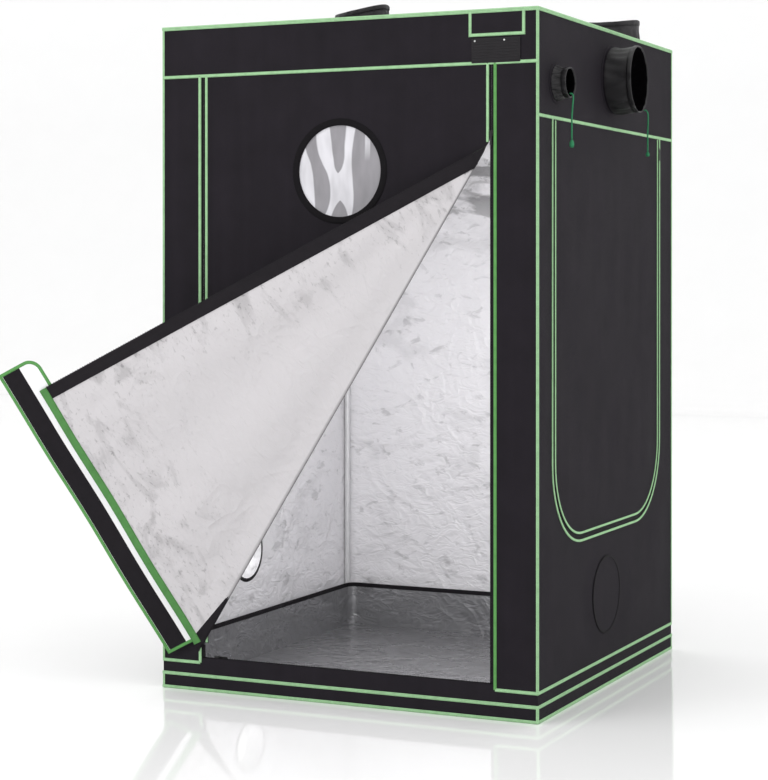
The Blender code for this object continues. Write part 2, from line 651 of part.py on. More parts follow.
def make_sleeve(name, face, place, radius, mouth, length, through=False):
    """A cloth port sleeve, with soft pleats between its flange and its hem."""
    bm = bmesh.new()
    turn_profile(bm, sleeve_profile(radius, mouth, length, through), SLEEVE_SIDES)
    hem = length - SLEEVE_HEM
    for vert in bm.verts:
        if PROUD < vert.co.z < hem:
            share = (vert.co.z - PROUD) / (hem - PROUD)
            angle = atan2(vert.co.y, vert.co.x)
            reach = sqrt(vert.co.x ** 2 + vert.co.y ** 2)
            pleat = PLEAT_DEEP * sin(pi * share) * sin(PLEATS * angle)
            vert.co.x *= 1 + pleat / reach
            vert.co.y *= 1 + pleat / reach
    bmesh.ops.translate(bm, verts=bm.verts, vec=(place[0], place[1], 0))
    location, rotation = FACES[face]
    add(name, bm, "black_cloth", location, rotation, smooth=radians(50))


def make_ports():
    make_sleeve("duct_sleeve", "right", DUCT_PORT, DUCT_RADIUS, DUCT_MOUTH_RADIUS, DUCT_LONG)
    make_sleeve("cable_sleeve", "right", CABLE_PORT, CABLE_RADIUS, CABLE_MOUTH_RADIUS, CABLE_LONG)
    make_sleeve("roof_sleeve_left", "roof", ROOF_PORT_A, ROOF_RADIUS, ROOF_MOUTH_RADIUS, ROOF_LONG)
    make_sleeve("roof_sleeve_right", "roof", ROOF_PORT_B, ROOF_RADIUS, ROOF_MOUTH_RADIUS, ROOF_LONG)
    make_sleeve("low_port_sleeve", "left", LOW_PORT, LOW_RADIUS, LOW_MOUTH_RADIUS, LOW_LONG, through=True)


def make_vent(hinge):
    """The net over the low vent, and the round cover that hangs over it."""
    inside = -CLOTH - SEAM
    net_radius = VENT_RADIUS + VENT_NET_LAP
    pitch = NET_HOLE + NET_BAR
    count = int(net_radius // pitch)
    loops = [circle(VENT, net_radius)]
    for i in range(-count, count + 1):
        for j in range(-count, count + 1):
            reach = sqrt((abs(i) * pitch + NET_HOLE / 2) ** 2 + (abs(j) * pitch + NET_HOLE / 2) ** 2)
            if reach < net_radius - NET_BAR:
                u, v = VENT[0] + i * pitch, VENT[1] + j * pitch
                loops.append(rect(u - NET_HOLE / 2, v - NET_HOLE / 2, u + NET_HOLE / 2, v + NET_HOLE / 2))
    slab("vent_net", "right", loops, inside - ZIP_TAPE, inside, "net")
    start = pi - asin(VENT_COVER_TOP / VENT_COVER_RADIUS)
    sweep = 3 * pi - 2 * start
    angles = [start + sweep * step / ROUND_SIDES for step in range(ROUND_SIDES + 1)]
    reach = VENT_COVER_RADIUS
    cover = [(VENT[0] + reach * cos(angle), VENT[1] + reach * sin(angle)) for angle in angles]
    slab("vent_cover", "right", [cover], ON, PROUD, "black_cloth", hinge)


def make_label(hinge):
    """The bare label pocket in the header, and the small flap that hangs under it."""
    high = HEIGHT - EDGE_BINDING - SEAM
    inset = LINE + SEAM
    plate = rect(LABEL_LEFT + inset, LABEL_LOW + inset, LABEL_LEFT + LABEL_WIDE - inset, high)
    slab("label_pocket", "front", [plate], ON, ON + TAPE, "black_tape")
    left = LABEL_LEFT + LABEL_FLAP_INSET
    right = left + LABEL_FLAP_WIDE
    top = LABEL_LOW - LABEL_FLAP_DROP
    seam = rect(left, top - LABEL_FLAP_SEAM, right, top)
    cover = rect(left, top - LABEL_FLAP_DEEP, right, top)
    slab("label_flap", "front", [cover], OVER, OVER + TAPE, "black_tape", hinge, [([seam], ON, OVER + TAPE)])


def tube_profile(low, high):
    inner = TUBE_RADIUS - TUBE_WALL
    return [(inner, low), (TUBE_RADIUS, low), (TUBE_RADIUS, high), (inner, high)]


def upright_profile(low, high):
    """An upright of two pressed-together lengths, with the fine groove where they meet."""
    inner = TUBE_RADIUS - TUBE_WALL
    groove = TUBE_RADIUS - JOINT_DEEP
    over = JOINT_Z + JOINT_GROOVE
    return [(inner, low), (TUBE_RADIUS, low), (TUBE_RADIUS, JOINT_Z), (groove, JOINT_Z), (groove, over),
            (TUBE_RADIUS, over), (TUBE_RADIUS, high), (inner, high)]


def make_tube(name, profile, location, rotation):
    bm = bmesh.new()
    turn_profile(bm, profile, TUBE_SIDES)
    add(name, bm, "frame_paint", location, rotation, smooth=radians(40))


def make_tubes():
    """Eight rails and four uprights."""
    reach_x = TUBE_X - HUB_FACE
    reach_y = TUBE_Y - HUB_FACE
    for level, z in (("bottom", TUBE_LOW), ("top", TUBE_HIGH)):
        for side, y in (("front", -TUBE_Y), ("back", TUBE_Y)):
            make_tube(level + "_rail_" + side, tube_profile(-reach_x, reach_x), (0, y, z), (0, pi / 2, 0))
        for side, x in (("left", -TUBE_X), ("right", TUBE_X)):
            make_tube(level + "_rail_" + side, tube_profile(-reach_y, reach_y), (x, 0, z), (pi / 2, 0, 0))
    low, high = TUBE_LOW + HUB_FACE, TUBE_HIGH - HUB_FACE
    for row, y in (("front", -TUBE_Y), ("back", TUBE_Y)):
        for side, x in (("left", -TUBE_X), ("right", TUBE_X)):
            make_tube("upright_" + row + "_" + side, upright_profile(low, high), (x, y, 0), (0, 0, 0))


def fitting_mesh():
    """A three-way corner: a rounded hub with a spigot for each of its three tubes."""
    bm = bmesh.new()
    bmesh.ops.create_cube(bm, size=HUB)
    bmesh.ops.bevel(bm, geom=bm.edges[:], offset=HUB_EDGE, segments=2, affect="EDGES")
    hub = bpy.data.meshes.new("hub")
    bm.to_mesh(hub)
    bm.free()
    body = bpy.data.objects.new("hub_body", hub)
    bpy.context.scene.collection.objects.link(body)
    spigots = []
    reach = SPIGOT_LONG + HUB / 2
    for turn in (Matrix.Identity(4), Matrix.Rotation(pi / 2, 4, "Y"), Matrix.Rotation(-pi / 2, 4, "X")):
        bm = bmesh.new()
        place = turn @ Matrix.Translation((0, 0, reach / 2))
        bmesh.ops.create_cone(bm, cap_ends=True, segments=TUBE_SIDES, radius1=SPIGOT_RADIUS,
                              radius2=SPIGOT_RADIUS, depth=reach, matrix=place)
        mesh = bpy.data.meshes.new("spigot")
        bm.to_mesh(mesh)
        bm.free()
        spigot = bpy.data.objects.new("spigot_guide", mesh)
        spigot.hide_render = True
        spigot.display_type = "WIRE"
        bpy.context.scene.collection.objects.link(spigot)
        union = body.modifiers.new("spigot", "BOOLEAN")
        union.operation = "UNION"
        union.solver = "EXACT"
        union.object = spigot
        spigots.append(spigot)
    bpy.context.view_layer.update()
    made = bpy.data.meshes.new_from_object(body.evaluated_get(bpy.context.evaluated_depsgraph_get()))
    for item in [body, *spigots]:
        bpy.data.objects.remove(item)
    return made


def make_fittings():
    """A corner fitting at each end of each upright."""
    mesh = fitting_mesh()
    mesh.shade_smooth()
    mesh.set_sharp_from_angle(angle=radians(40))
    mesh.materials.append(finish("fitting_plastic"))
    quarters = {(-1, -1): 0, (1, -1): 1, (1, 1): 2, (-1, 1): 3}
    for level, z, tip in (("bottom", TUBE_LOW, 0), ("top", TUBE_HIGH, 1)):
        for (sx, sy), quarter in quarters.items():
            name = "_".join((level, "corner", "front" if sy < 0 else "back", "left" if sx < 0 else "right"))
            made = bpy.data.objects.new(name, mesh)
            bpy.context.scene.collection.objects.link(made)
            made.location = (sx * TUBE_X, sy * TUBE_Y, z)
            turn = Matrix.Rotation((quarter + tip) * pi / 2, 3, "Z") @ Matrix.Rotation(tip * pi, 3, "X")
            made.rotation_euler = turn.to_euler()


def rod(name, radius, length, location, rotation):
    """A round solid along its own Z."""
    bm = bmesh.new()
    bmesh.ops.create_cone(bm, cap_ends=True, segments=TUBE_SIDES, radius1=radius, radius2=radius,
                          depth=length)
    return add(name, bm, "frame_paint", location, rotation, smooth=radians(40))


def make_hanging_bar(name, y):
    """A ceiling bar with a ring at each end that slides on the top rails. Its bore opens into the rings."""
    clip = TUBE_RADIUS + SPIGOT_CLEAR
    long = 2 * (TUBE_X - CLIP_WALL)
    middle = (0, y, TUBE_HIGH)
    along = (0, pi / 2, 0)
    bar = rod(name, BAR_RADIUS, long, middle, along)
    steps = [("_hollow", BAR_RADIUS - TUBE_WALL, long, middle, along, "DIFFERENCE")]
    for ending, side in (("_left", -1), ("_right", 1)):
        at = (side * TUBE_X, y, TUBE_HIGH)
        across = (pi / 2, 0, 0)
        steps.insert(0, ("_ring" + ending, clip + CLIP_WALL, CLIP_LONG, at, across, "UNION"))
        steps.append(("_bore" + ending, clip, 2 * CLIP_LONG, at, across, "DIFFERENCE"))
    for ending, radius, length, at, turn, operation in steps:
        other = rod(name + ending, radius, length, at, turn)
        other.hide_render = True
        other.display_type = "WIRE"
        cut = bar.modifiers.new(ending, "BOOLEAN")
        cut.operation = operation
        cut.solver = "EXACT"
        cut.object = other


def make_tray():
    """The lift-out floor tray, open at the top, with a bound rim."""
    half_x = TUBE_X - TUBE_RADIUS - TRAY_CLEAR
    half_y = TUBE_Y - TUBE_RADIUS - TRAY_CLEAR
    foot = CLOTH + SEAM

    def ring(inset, z):
        return rounded_rectangle(half_x - inset, half_y - inset, TRAY_CORNER - inset), foot + z

    bm = bmesh.new()
    wall = TRAY_RIM_THICK + TRAY_WALL
    below = TRAY_HIGH - TRAY_RIM
    loft(bm, [ring(TRAY_RIM_THICK, 0), ring(TRAY_RIM_THICK, below), ring(0, below), ring(0, TRAY_HIGH),
              ring(wall + TRAY_RIM_THICK, TRAY_HIGH), ring(wall + TRAY_RIM_THICK, below), ring(wall, below),
              ring(wall, TRAY_WALL)])
    add("floor_tray", bm, "silver_lining", smooth=radians(40))


def smooth_route(points, spacing):
    """Points at even spacing along a smooth curve through the given ones."""
    points = [Vector(point) for point in points]
    padded = [2 * points[0] - points[1], *points, 2 * points[-1] - points[-2]]
    fine = []
    steps = 24
    for i in range(1, len(padded) - 2):
        p0, p1, p2, p3 = padded[i - 1:i + 3]
        for step in range(steps):
            t = step / steps
            fine.append(0.5 * (2 * p1 + (p2 - p0) * t + (2 * p0 - 5 * p1 + 4 * p2 - p3) * t ** 2
                               + (3 * p1 - p0 - 3 * p2 + p3) * t ** 3))
    fine.append(points[-1])
    length = sum((b - a).length for a, b in zip(fine, fine[1:]))
    count = max(2, round(length / spacing))
    even, walked, target = [fine[0]], 0.0, length / count
    for a, b in zip(fine, fine[1:]):
        step = (b - a).length
        while walked + step >= target * len(even) - SEAM / 10 and len(even) < count:
            even.append(a.lerp(b, (target * len(even) - walked) / step))
        walked += step
    return even + [fine[-1]]


def make_cord(name, route):
    """A drawcord: a tube along its route, with filled ends. Returns where it ends."""
    curve = bpy.data.curves.new(name, "CURVE")
    curve.dimensions = "3D"
    curve.bevel_depth = CORD_RADIUS
    curve.bevel_resolution = 2
    curve.use_fill_caps = True
    route = [(HALF_W + out, y, HEIGHT - down) for out, y, down in route]
    points = smooth_route(route, 5 * CORD_RADIUS)
    spline = curve.splines.new("POLY")
    spline.points.add(len(points) - 1)
    for knot, place in zip(spline.points, points):
        knot.co = place.to_4d()
    curve.materials.append(finish("cord_green"))
    made = bpy.data.objects.new(name, curve)
    bpy.context.scene.collection.objects.link(made)
    return points[-1]


def make_barrel(name, place, radius, length):
    """A knot or a cord lock, as a small barrel that hangs on its cord."""
    bm = bmesh.new()
    loft(bm, [(circle((0, 0), radius * wide_share, TUBE_SIDES), length / 2 * up_share)
              for wide_share, up_share in BARREL_SHARES])
    add(name, bm, "cord_green", place - Vector((0, 0, length / 2 + SEAM)), smooth=radians(60))


# Drawcord routes from the sleeve's hem to the knot: out from the right wall, y, down from the roof
DUCT_CORD = [(0.0863, 0.0600, 0.2417), (0.0940, 0.0600, 0.2435), (0.0995, 0.0600, 0.2540),
             (0.0998, 0.0602, 0.2800), (0.0988, 0.0595, 0.3100), (0.0988, 0.0600, 0.3400),
             (0.0988, 0.0600, 0.3700)]
CABLE_CORD = [(0.0463, -0.4820, 0.2325), (0.0540, -0.4830, 0.2345), (0.0590, -0.4865, 0.2440),
              (0.0592, -0.4930, 0.2700), (0.0585, -0.4965, 0.3000), (0.0585, -0.4975, 0.3350),
              (0.0585, -0.4975, 0.3650)]


def make_cords():
    end = make_cord("duct_drawcord", DUCT_CORD)
    make_barrel("duct_cord_knot", end, KNOT_RADIUS, KNOT_LONG)
    end = make_cord("cable_drawcord", CABLE_CORD)
    make_barrel("cable_cord_lock", end, LOCK_RADIUS, LOCK_LONG)


def make_tent():
    for old in list(bpy.data.objects):
        bpy.data.objects.remove(old)
    make_cover()
    make_cover_piping()
    make_front_door()
    make_shell_zips()
    make_sliders()
    make_ports()
    make_tubes()
    make_fittings()
    make_hanging_bar("hanging_bar_front", -BAR_PLACE)
    make_hanging_bar("hanging_bar_back", BAR_PLACE)
    make_tray()
    crease = Vector((1, 0, CREASE_SLOPE)).normalized()
    fold_at = (-DOOR_HALF, -HALF_D - FOLD_LIFT, CREASE_FOOT)
    fold = hinge_empty("door_fold_hinge", fold_at, Matrix.Rotation(-FOLD_OPEN, 4, crease).to_quaternion())
    make_flap(fold)
    storm_at = (0, -HALF_D - OVER, STORM_HIGH)
    make_storm_flap(hinge_empty("storm_flap_hinge", storm_at, parent=fold))
    make_side_door(hinge_empty("side_door_hinge", (HALF_W, SIDE_DOOR_SHIFT, SIDE_DOOR_TOP)))
    make_vent(hinge_empty("vent_cover_hinge", (HALF_W + ON, VENT[0], VENT[1] + VENT_COVER_TOP)))
    label_top = LABEL_LOW - LABEL_FLAP_DROP
    make_label(hinge_empty("label_flap_hinge", (LABEL_LEFT + LABEL_FLAP_INSET, -HALF_D - ON, label_top)))
    make_cords()


make_tent()
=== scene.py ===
"""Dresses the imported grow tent: cloth with its folds, lining, piping, zips, sleeves and cords.

Metres, +Z up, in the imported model's frame. Each face of the cover has its own flat frame: u runs to
the right as seen from outside, v runs up, and w stands out of the cover.
"""
from math import ceil, cos, hypot, pi, radians, sin, sqrt, tan

import bmesh
import bpy
import numpy as np
from mathutils import Euler, Matrix, Vector
from mathutils.geometry import delaunay_2d_cdt


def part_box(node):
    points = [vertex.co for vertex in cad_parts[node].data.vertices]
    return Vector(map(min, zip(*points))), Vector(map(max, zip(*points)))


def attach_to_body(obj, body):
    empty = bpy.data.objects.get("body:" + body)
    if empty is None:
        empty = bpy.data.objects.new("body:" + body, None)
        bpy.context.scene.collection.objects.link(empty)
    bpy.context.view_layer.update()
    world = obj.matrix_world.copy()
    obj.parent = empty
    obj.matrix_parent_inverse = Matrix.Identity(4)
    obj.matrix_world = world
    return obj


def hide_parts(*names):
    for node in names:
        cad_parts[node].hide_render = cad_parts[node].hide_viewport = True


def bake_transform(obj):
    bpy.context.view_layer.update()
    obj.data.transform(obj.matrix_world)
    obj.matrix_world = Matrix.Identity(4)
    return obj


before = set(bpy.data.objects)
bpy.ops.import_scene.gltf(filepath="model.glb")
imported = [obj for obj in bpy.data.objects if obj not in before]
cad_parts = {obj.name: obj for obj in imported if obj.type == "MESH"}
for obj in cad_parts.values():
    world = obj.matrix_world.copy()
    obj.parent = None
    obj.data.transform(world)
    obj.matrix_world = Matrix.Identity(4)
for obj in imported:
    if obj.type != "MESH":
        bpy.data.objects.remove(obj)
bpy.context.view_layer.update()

bl_info = {
    "name": "Grow Tent Dressing",
    "version": (1, 0, 0),
    "blender": (4, 5, 0),
    "location": "3D View > Sidebar > Tent",
    "description": "Cloth, lining, piping, zips, sleeves and cords for the packed grow tent",
    "category": "Object",
}

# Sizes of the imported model, as its source names them
HALF_W, HALF_D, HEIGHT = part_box("roof_panel")[1]
CLOTH = 0.002
SEAM = 0.0003
TAPE = 0.0015
PROUD = SEAM + TAPE
INNER_FACE = -CLOTH - SEAM
LINE = 0.0095
EDGE_BINDING = 0.0088
CORNER_BINDING = 0.0050
FRONT_HEAD = HEIGHT - 0.150
SIDE_HEAD = HEIGHT - 0.300
RAIL_LINE = 0.022
LOW_LINE_Z = 0.046
HEM_LINE_Z = 0.085
SILL = 0.100
OPEN_HALF = HALF_W - 0.134
ZIP_GAP = 0.013
ZIP_TAPE = 0.015
ZIP_TAPE_DEEP = 0.001
DOOR_HALF = OPEN_HALF - ZIP_GAP
DOOR_FOOT = SILL + 0.006
TEETH = (OPEN_HALF + DOOR_HALF) / 2
TOOTH_FOOT = INNER_FACE - 0.0006
CREASE_TOP = FRONT_HEAD - 0.230
CREASE_FOOT = 0.125
CREASE_SLOPE = (CREASE_TOP - CREASE_FOOT) / (2 * DOOR_HALF)
CREASE_RISE = sqrt(1 + CREASE_SLOPE ** 2)
CREASE_LONG = 2 * DOOR_HALF * CREASE_RISE
CREASE_CLEAR = 0.008 * CREASE_RISE
FOLD_OPEN = radians(157)
FOLD_LIFT = 0.0002
ROLL_TIGHT = 0.0012
ROLL_GROWTH = 0.0026
FOLDS_FAN = radians(31.8)
FLAP_HEM = 0.038
FOOT_BINDING = 0.018
STORM_LEFT = 0.425
STORM_RIGHT = 0.560
STORM_LOW = 0.015
STORM_HIGH = 0.145
STORM_CORNER = 0.040
STORM_BINDING = 0.010
STORM_BINDING_HIGH = 0.0022
STORM_FOOT = PROUD + SEAM + 0.0005
HOOK_LOW = STORM_LOW + STORM_BINDING + 0.001
HOOK_WIDE = 0.057
WINDOW = (-0.010, HEIGHT - 0.445)
WINDOW_RADIUS = 0.1335
WINDOW_RING = 0.020
PANE_RADIUS = WINDOW_RADIUS + 0.012
SIDE_SHIFT = -0.010
SIDE_OPEN_HALF = HALF_D - 0.126
SIDE_DOOR_FOOT = 0.475
SIDE_DOOR_CORNER = 0.240
SIDE_DOOR_TOP = SIDE_HEAD - LINE / 2 - SEAM
SIDE_TAPE_TOP = SIDE_DOOR_TOP - 0.0025
DUCT_PORT = (0.020, HEIGHT - 0.150)
DUCT_RADIUS = 0.098
CABLE_PORT = (-0.467, HEIGHT - 0.200)
CABLE_RADIUS = 0.047
ROOF_PORT_A = (-0.240, 0.0)
ROOF_PORT_B = (0.470, 0.430)
ROOF_PORT_RADIUS = 0.086
LOW_PORT = (0.100, 0.345)
LOW_PORT_RADIUS = 0.085
SLEEVE_HEM = 0.016
FLANGE = 0.012
VENT = (-0.040, 0.285)
VENT_RADIUS = 0.108
LABEL_LEFT = HALF_W - 0.210
LABEL_WIDE = 0.172
LABEL_LOW = HEIGHT - 0.075
CORNERS = ((-1, -1), (1, -1), (1, 1), (-1, 1))

FACES = {
    "front": ((0, -HALF_D, 0), (pi / 2, 0, 0)),
    "right": ((HALF_W, 0, 0), (pi / 2, 0, pi / 2)),
    "back": ((0, HALF_D, 0), (pi / 2, 0, pi)),
    "left": ((-HALF_W, 0, 0), (pi / 2, 0, -pi / 2)),
    "roof": ((0, 0, HEIGHT), (0, 0, 0)),
    "floor": ((0, 0, 0), (pi, 0, 0)),
}

# Drawcord routes from the sleeve's hem to the knot: out from the right wall, y, down from the roof
DUCT_CORD = [(0.0863, 0.0600, 0.2417), (0.0940, 0.0600, 0.2435), (0.0995, 0.0600, 0.2540),
             (0.0998, 0.0602, 0.2800), (0.0988, 0.0595, 0.3100), (0.0988, 0.0600, 0.3400),
             (0.0988, 0.0600, 0.3700)]
CABLE_CORD = [(0.0463, -0.4820, 0.2325), (0.0540, -0.4830, 0.2345), (0.0590, -0.4865, 0.2440),
              (0.0592, -0.4930, 0.2700), (0.0585, -0.4965, 0.3000), (0.0585, -0.4975, 0.3350),
              (0.0585, -0.4975, 0.3650)]
CORD_RADIUS = 0.0025

# Spacing of the points in the doors' cloth and in small pieces
DOOR_PITCH = 0.014
FINE_PITCH = 0.012

# The camera, fitted to the photograph: the photograph's size, and the focal length and centre, in pixels
PHOTO_WIDE, PHOTO_TALL = 768, 780
FOCAL_PX = 1990.68
CENTRE_PX = (444, 280)
SENSOR_MM = 36
CAMERA_PLACE = (2.6379, -5.7777, 1.2634)
CAMERA_YAW, CAMERA_PITCH = -0.4211, -0.0044


# Each finish by its name, once they are made
LOOK = {}


# What a user would change
def a_length(name, about, default, least=0.0):
    return bpy.props.FloatProperty(name=name, description=about, default=default, min=least, unit="LENGTH")


def a_colour(name, about, default):
    return bpy.props.FloatVectorProperty(name=name, description=about, default=default, subtype="COLOR")


class TentSizes(bpy.types.PropertyGroup):
    cloth_pitch: a_length("Cloth Mesh", "Spacing of the points in large cloth panels", 0.017, 0.008)
    billow: a_length("Wall Billow", "How far the taut walls wave in and out", 0.0030)
    crinkle: a_length("Lining Crinkle", "Depth of the crumples in the reflective lining", 0.0022)
    flap_folds: a_length("Flap Folds", "Depth of the folds that run down from the door's slider", 0.011)
    piping_crown: a_length("Piping Crown", "Height of the rounded piping over the cloth", 0.0024)
    tooth_pitch: a_length("Zip Tooth Pitch", "Distance from one zip tooth to the next", 0.0042, 0.002)
    pleat: a_length("Sleeve Pleats", "Depth of the pleats in the port sleeves", 0.0030)
    thread: a_length("Weave", "Distance from one thread of the cloth to the next", 0.0011, 0.0003)


class TentColours(bpy.types.PropertyGroup):
    cloth: a_colour("Cloth", "Outer cloth", (0.0118, 0.0094, 0.0132))
    lining: a_colour("Lining", "Reflective lining of the walls", (0.86, 0.85, 0.87))
    silver: a_colour("Silver", "Inner face of the front door", (0.565, 0.545, 0.56))
    pale: a_colour("Pale Piping", "Piping of the cover", (0.30, 0.52, 0.28))
    green: a_colour("Green Piping", "Bindings of the doors", (0.10, 0.30, 0.082))
    cord: a_colour("Cord", "Drawcords", (0.020, 0.17, 0.072))


def sizes():
    return bpy.context.scene.tent_sizes


# Shader nodes
def put(tree, kind, values=(), **settings):
    """Add a node. values sets its input sockets, or links them where a value is a socket."""
    made = tree.nodes.new(kind)
    for key, value in settings.items():
        setattr(made, key, value)
    for key, value in dict(values).items():
        if isinstance(value, bpy.types.NodeSocket):
            tree.links.new(value, made.inputs[key])
        else:
            made.inputs[key].default_value = value
    return made


def calc(tree, operation, *values):
    """A Math node's result."""
    return put(tree, "ShaderNodeMath", dict(enumerate(values)), operation=operation).outputs[0]


def ranged(tree, value, low, high, start_at=0.0, end_at=1.0):
    """A Map Range node's result."""
    return put(tree, "ShaderNodeMapRange", {0: value, 1: low, 2: high, 3: start_at, 4: end_at}).outputs[0]


def noise(tree, vector, scale, detail=2.0, **more):
    """A Noise Texture node's value."""
    values = {"Vector": vector, "Scale": scale, "Detail": detail}
    return put(tree, "ShaderNodeTexNoise", values | more).outputs[0]


def mapped(tree, vector, **values):
    """A Mapping node's result."""
    return put(tree, "ShaderNodeMapping", {"Vector": vector, **values}).outputs[0]


def across_and_up(tree, vector):
    """The first two coordinates of a vector."""
    split = put(tree, "ShaderNodeSeparateXYZ", {0: vector})
    return split.outputs[0], split.outputs[1]


def shades(tree, factor, low, high, start_at=0.0, end_at=1.0):
    """A colour ramp's result, between two colours."""
    ramp = put(tree, "ShaderNodeValToRGB", {0: factor})
    for stop, colour, place in zip(ramp.color_ramp.elements, (low, high), (start_at, end_at)):
        stop.color = (*colour, 1)
        stop.position = place
    return ramp.outputs[0]


def mixed(tree, factor, first, second, blend="MIX"):
    """A colour Mix node's result."""
    values = {"Factor": factor, 6: first, 7: second}
    return put(tree, "ShaderNodeMix", values, data_type="RGBA", blend_type=blend).outputs[2]


def curve_of(tree, value, points):
    """A Float Curve node's result."""
    made = put(tree, "ShaderNodeFloatCurve", {"Value": value})
    line = made.mapping.curves[0].points
    for point, place in zip(line, (points[0], points[-1])):
        point.location = place
    for x, y in points[1:-1]:
        line.new(x, y)
    made.mapping.update()
    return made.outputs[0]


# Shader node groups
def new_group(name, inputs, outputs):
    """A named shader group. inputs holds (name, kind, default) and outputs holds names of values."""
    tree = bpy.data.node_groups.new(name, "ShaderNodeTree")
    for title, kind, default in inputs:
        made = tree.interface.new_socket(name=title, in_out="INPUT", socket_type="NodeSocket" + kind)
        if default is not None:
            made.default_value = default
    for title in outputs:
        tree.interface.new_socket(name=title, in_out="OUTPUT", socket_type="NodeSocketFloat")
    return tree, tree.nodes.new("NodeGroupInput").outputs, tree.nodes.new("NodeGroupOutput").inputs


def weave_group(name):
    """Plain weave: crossing threads with a few thick ones."""
    inputs = [("Metres", "Vector", None), ("Thread", "Float", 0.001)]
    tree, given, out = new_group(name, inputs, ["Height", "Shade"])
    metres = given["Metres"]
    turns = calc(tree, "DIVIDE", 2 * pi, given["Thread"])
    threads = [calc(tree, "SINE", calc(tree, "MULTIPLY", way, turns)) for way in across_and_up(tree, metres)]
    slub = noise(tree, metres, 240.0)
    tree.links.new(calc(tree, "MULTIPLY_ADD", calc(tree, "MULTIPLY", *threads), 0.5, slub), out["Height"])
    mottle = noise(tree, metres, 9.0, 5.0, Roughness=0.62)
    streak = noise(tree, mapped(tree, metres, Scale=(26.0, 1.1, 1.0)), 1.0, 4.0)
    shade = 0.0
    for layer, share in ((mottle, 0.45), (slub, 0.25), (streak, 0.30)):
        shade = calc(tree, "MULTIPLY_ADD", layer, share, shade)
    tree.links.new(shade, out["Shade"])
    return tree


def foil_group(name):
    """Crumpled film: sharp creases at two sizes, and masks of soft grey patches and short grey flecks, the
    painted shade of its crumples.
    """
    inputs = [("Metres", "Vector", None), ("Creases", "Float", 12.0), ("Patches", "Float", 2.6),
              ("Flecks", "Float", 20.0)]
    tree, given, out = new_group(name, inputs, ["Height", "Patches", "Flecks"])

    def spots(vector, scale, detail, twist):
        return noise(tree, vector, scale, detail, Roughness=0.58, Distortion=twist)

    def ridge(value):
        swing = calc(tree, "MULTIPLY_ADD", value, 4.0, -2.0)
        return calc(tree, "SUBTRACT", 1.0, calc(tree, "ABSOLUTE", swing))

    flat = mapped(tree, given["Metres"], Rotation=(0, 0, 0.22), Scale=(1.0, 1.9, 1.0))
    large = ridge(spots(given["Metres"], given["Creases"], 2.0, 1.4))
    small = ridge(spots(flat, calc(tree, "MULTIPLY", given["Creases"], 3.3), 2.0, 0.9))
    height = calc(tree, "MULTIPLY_ADD", large, 0.6, calc(tree, "MULTIPLY", small, 0.25))
    tree.links.new(height, out["Height"])
    masks = (("Patches", 5.0, 1.0, 0.36, 0.56), ("Flecks", 3.0, 0.6, 0.33, 0.43))
    for title, detail, twist, low, high in masks:
        mask = ranged(tree, spots(flat, given[title], detail, twist), low, high, 1.0, 0.0)
        tree.links.new(mask, out[title])
    return tree


def ribbed_group(name):
    """Ribbed tape with a row of stitches along each side. Metres is (along, across)."""
    inputs = [("Metres", "Vector", None), ("Rib", "Float", 0.0013), ("Rows", "Float", 0.0036),
              ("Stitch", "Float", 0.0042)]
    tree, given, out = new_group(name, inputs, ["Height", "Stitches"])
    along, across = across_and_up(tree, given["Metres"])
    rib = calc(tree, "SINE", calc(tree, "MULTIPLY", along, calc(tree, "DIVIDE", 2 * pi, given["Rib"])))
    dash = calc(tree, "LESS_THAN", calc(tree, "FRACT", calc(tree, "DIVIDE", along, given["Stitch"])), 0.72)
    off = calc(tree, "ABSOLUTE", calc(tree, "SUBTRACT", calc(tree, "ABSOLUTE", across), given["Rows"]))
    mask = calc(tree, "MULTIPLY", dash, calc(tree, "LESS_THAN", off, 0.0004))
    tree.links.new(mask, out["Stitches"])
    tree.links.new(calc(tree, "MULTIPLY_ADD", rib, 0.3, mask), out["Height"])
    return tree


def wear_group(name):
    """Dust and rub marks, as a mask."""
    tree, given, out = new_group(name, [("Place", "Vector", None), ("Size", "Float", 14.0)], ["Mask"])
    broad = noise(tree, given["Place"], given["Size"], 6.0, Roughness=0.7)
    tree.links.new(ranged(tree, broad, 0.45, 0.75), out["Mask"])
    return tree


GROUPS = {"plain_weave": weave_group, "crumpled_film": foil_group, "ribbed_tape": ribbed_group,
          "rub_marks": wear_group}


def use(tree, name, **values):
    """Place a group node with its values, and return its outputs."""
    group = bpy.data.node_groups.get(name) or GROUPS[name](name)
    return put(tree, "ShaderNodeGroup", values, node_tree=group).outputs


# Materials
def scaled(colour, factor):
    return tuple(min(1.0, part * factor) for part in colour)


def start(name, roughness, metallic=0.0, specular=0.5, **more):
    """A new material with its Principled shader: (material, tree, shader, metres on the cloth)."""
    made = bpy.data.materials.new(name)
    made.use_nodes = True
    tree = made.node_tree
    shader = tree.nodes["Principled BSDF"]
    values = {"Roughness": roughness, "Metallic": metallic, "Specular IOR Level": specular}
    for key, value in (values | more).items():
        shader.inputs[key.replace("_", " ")].default_value = value
    return made, tree, shader, put(tree, "ShaderNodeUVMap", uv_map="metres").outputs[0]


def feed(tree, shader, name, socket):
    tree.links.new(socket, shader.inputs[name])


def bump(tree, shader, height, distance, strength, **under):
    """Feed the shader's normal. Normal, where given, is the coarser bump under this one."""
    values = {"Height": height, "Distance": distance, "Strength": strength}
    made = put(tree, "ShaderNodeBump", values | under)
    feed(tree, shader, "Normal", made.outputs[0])
    return made.outputs[0]


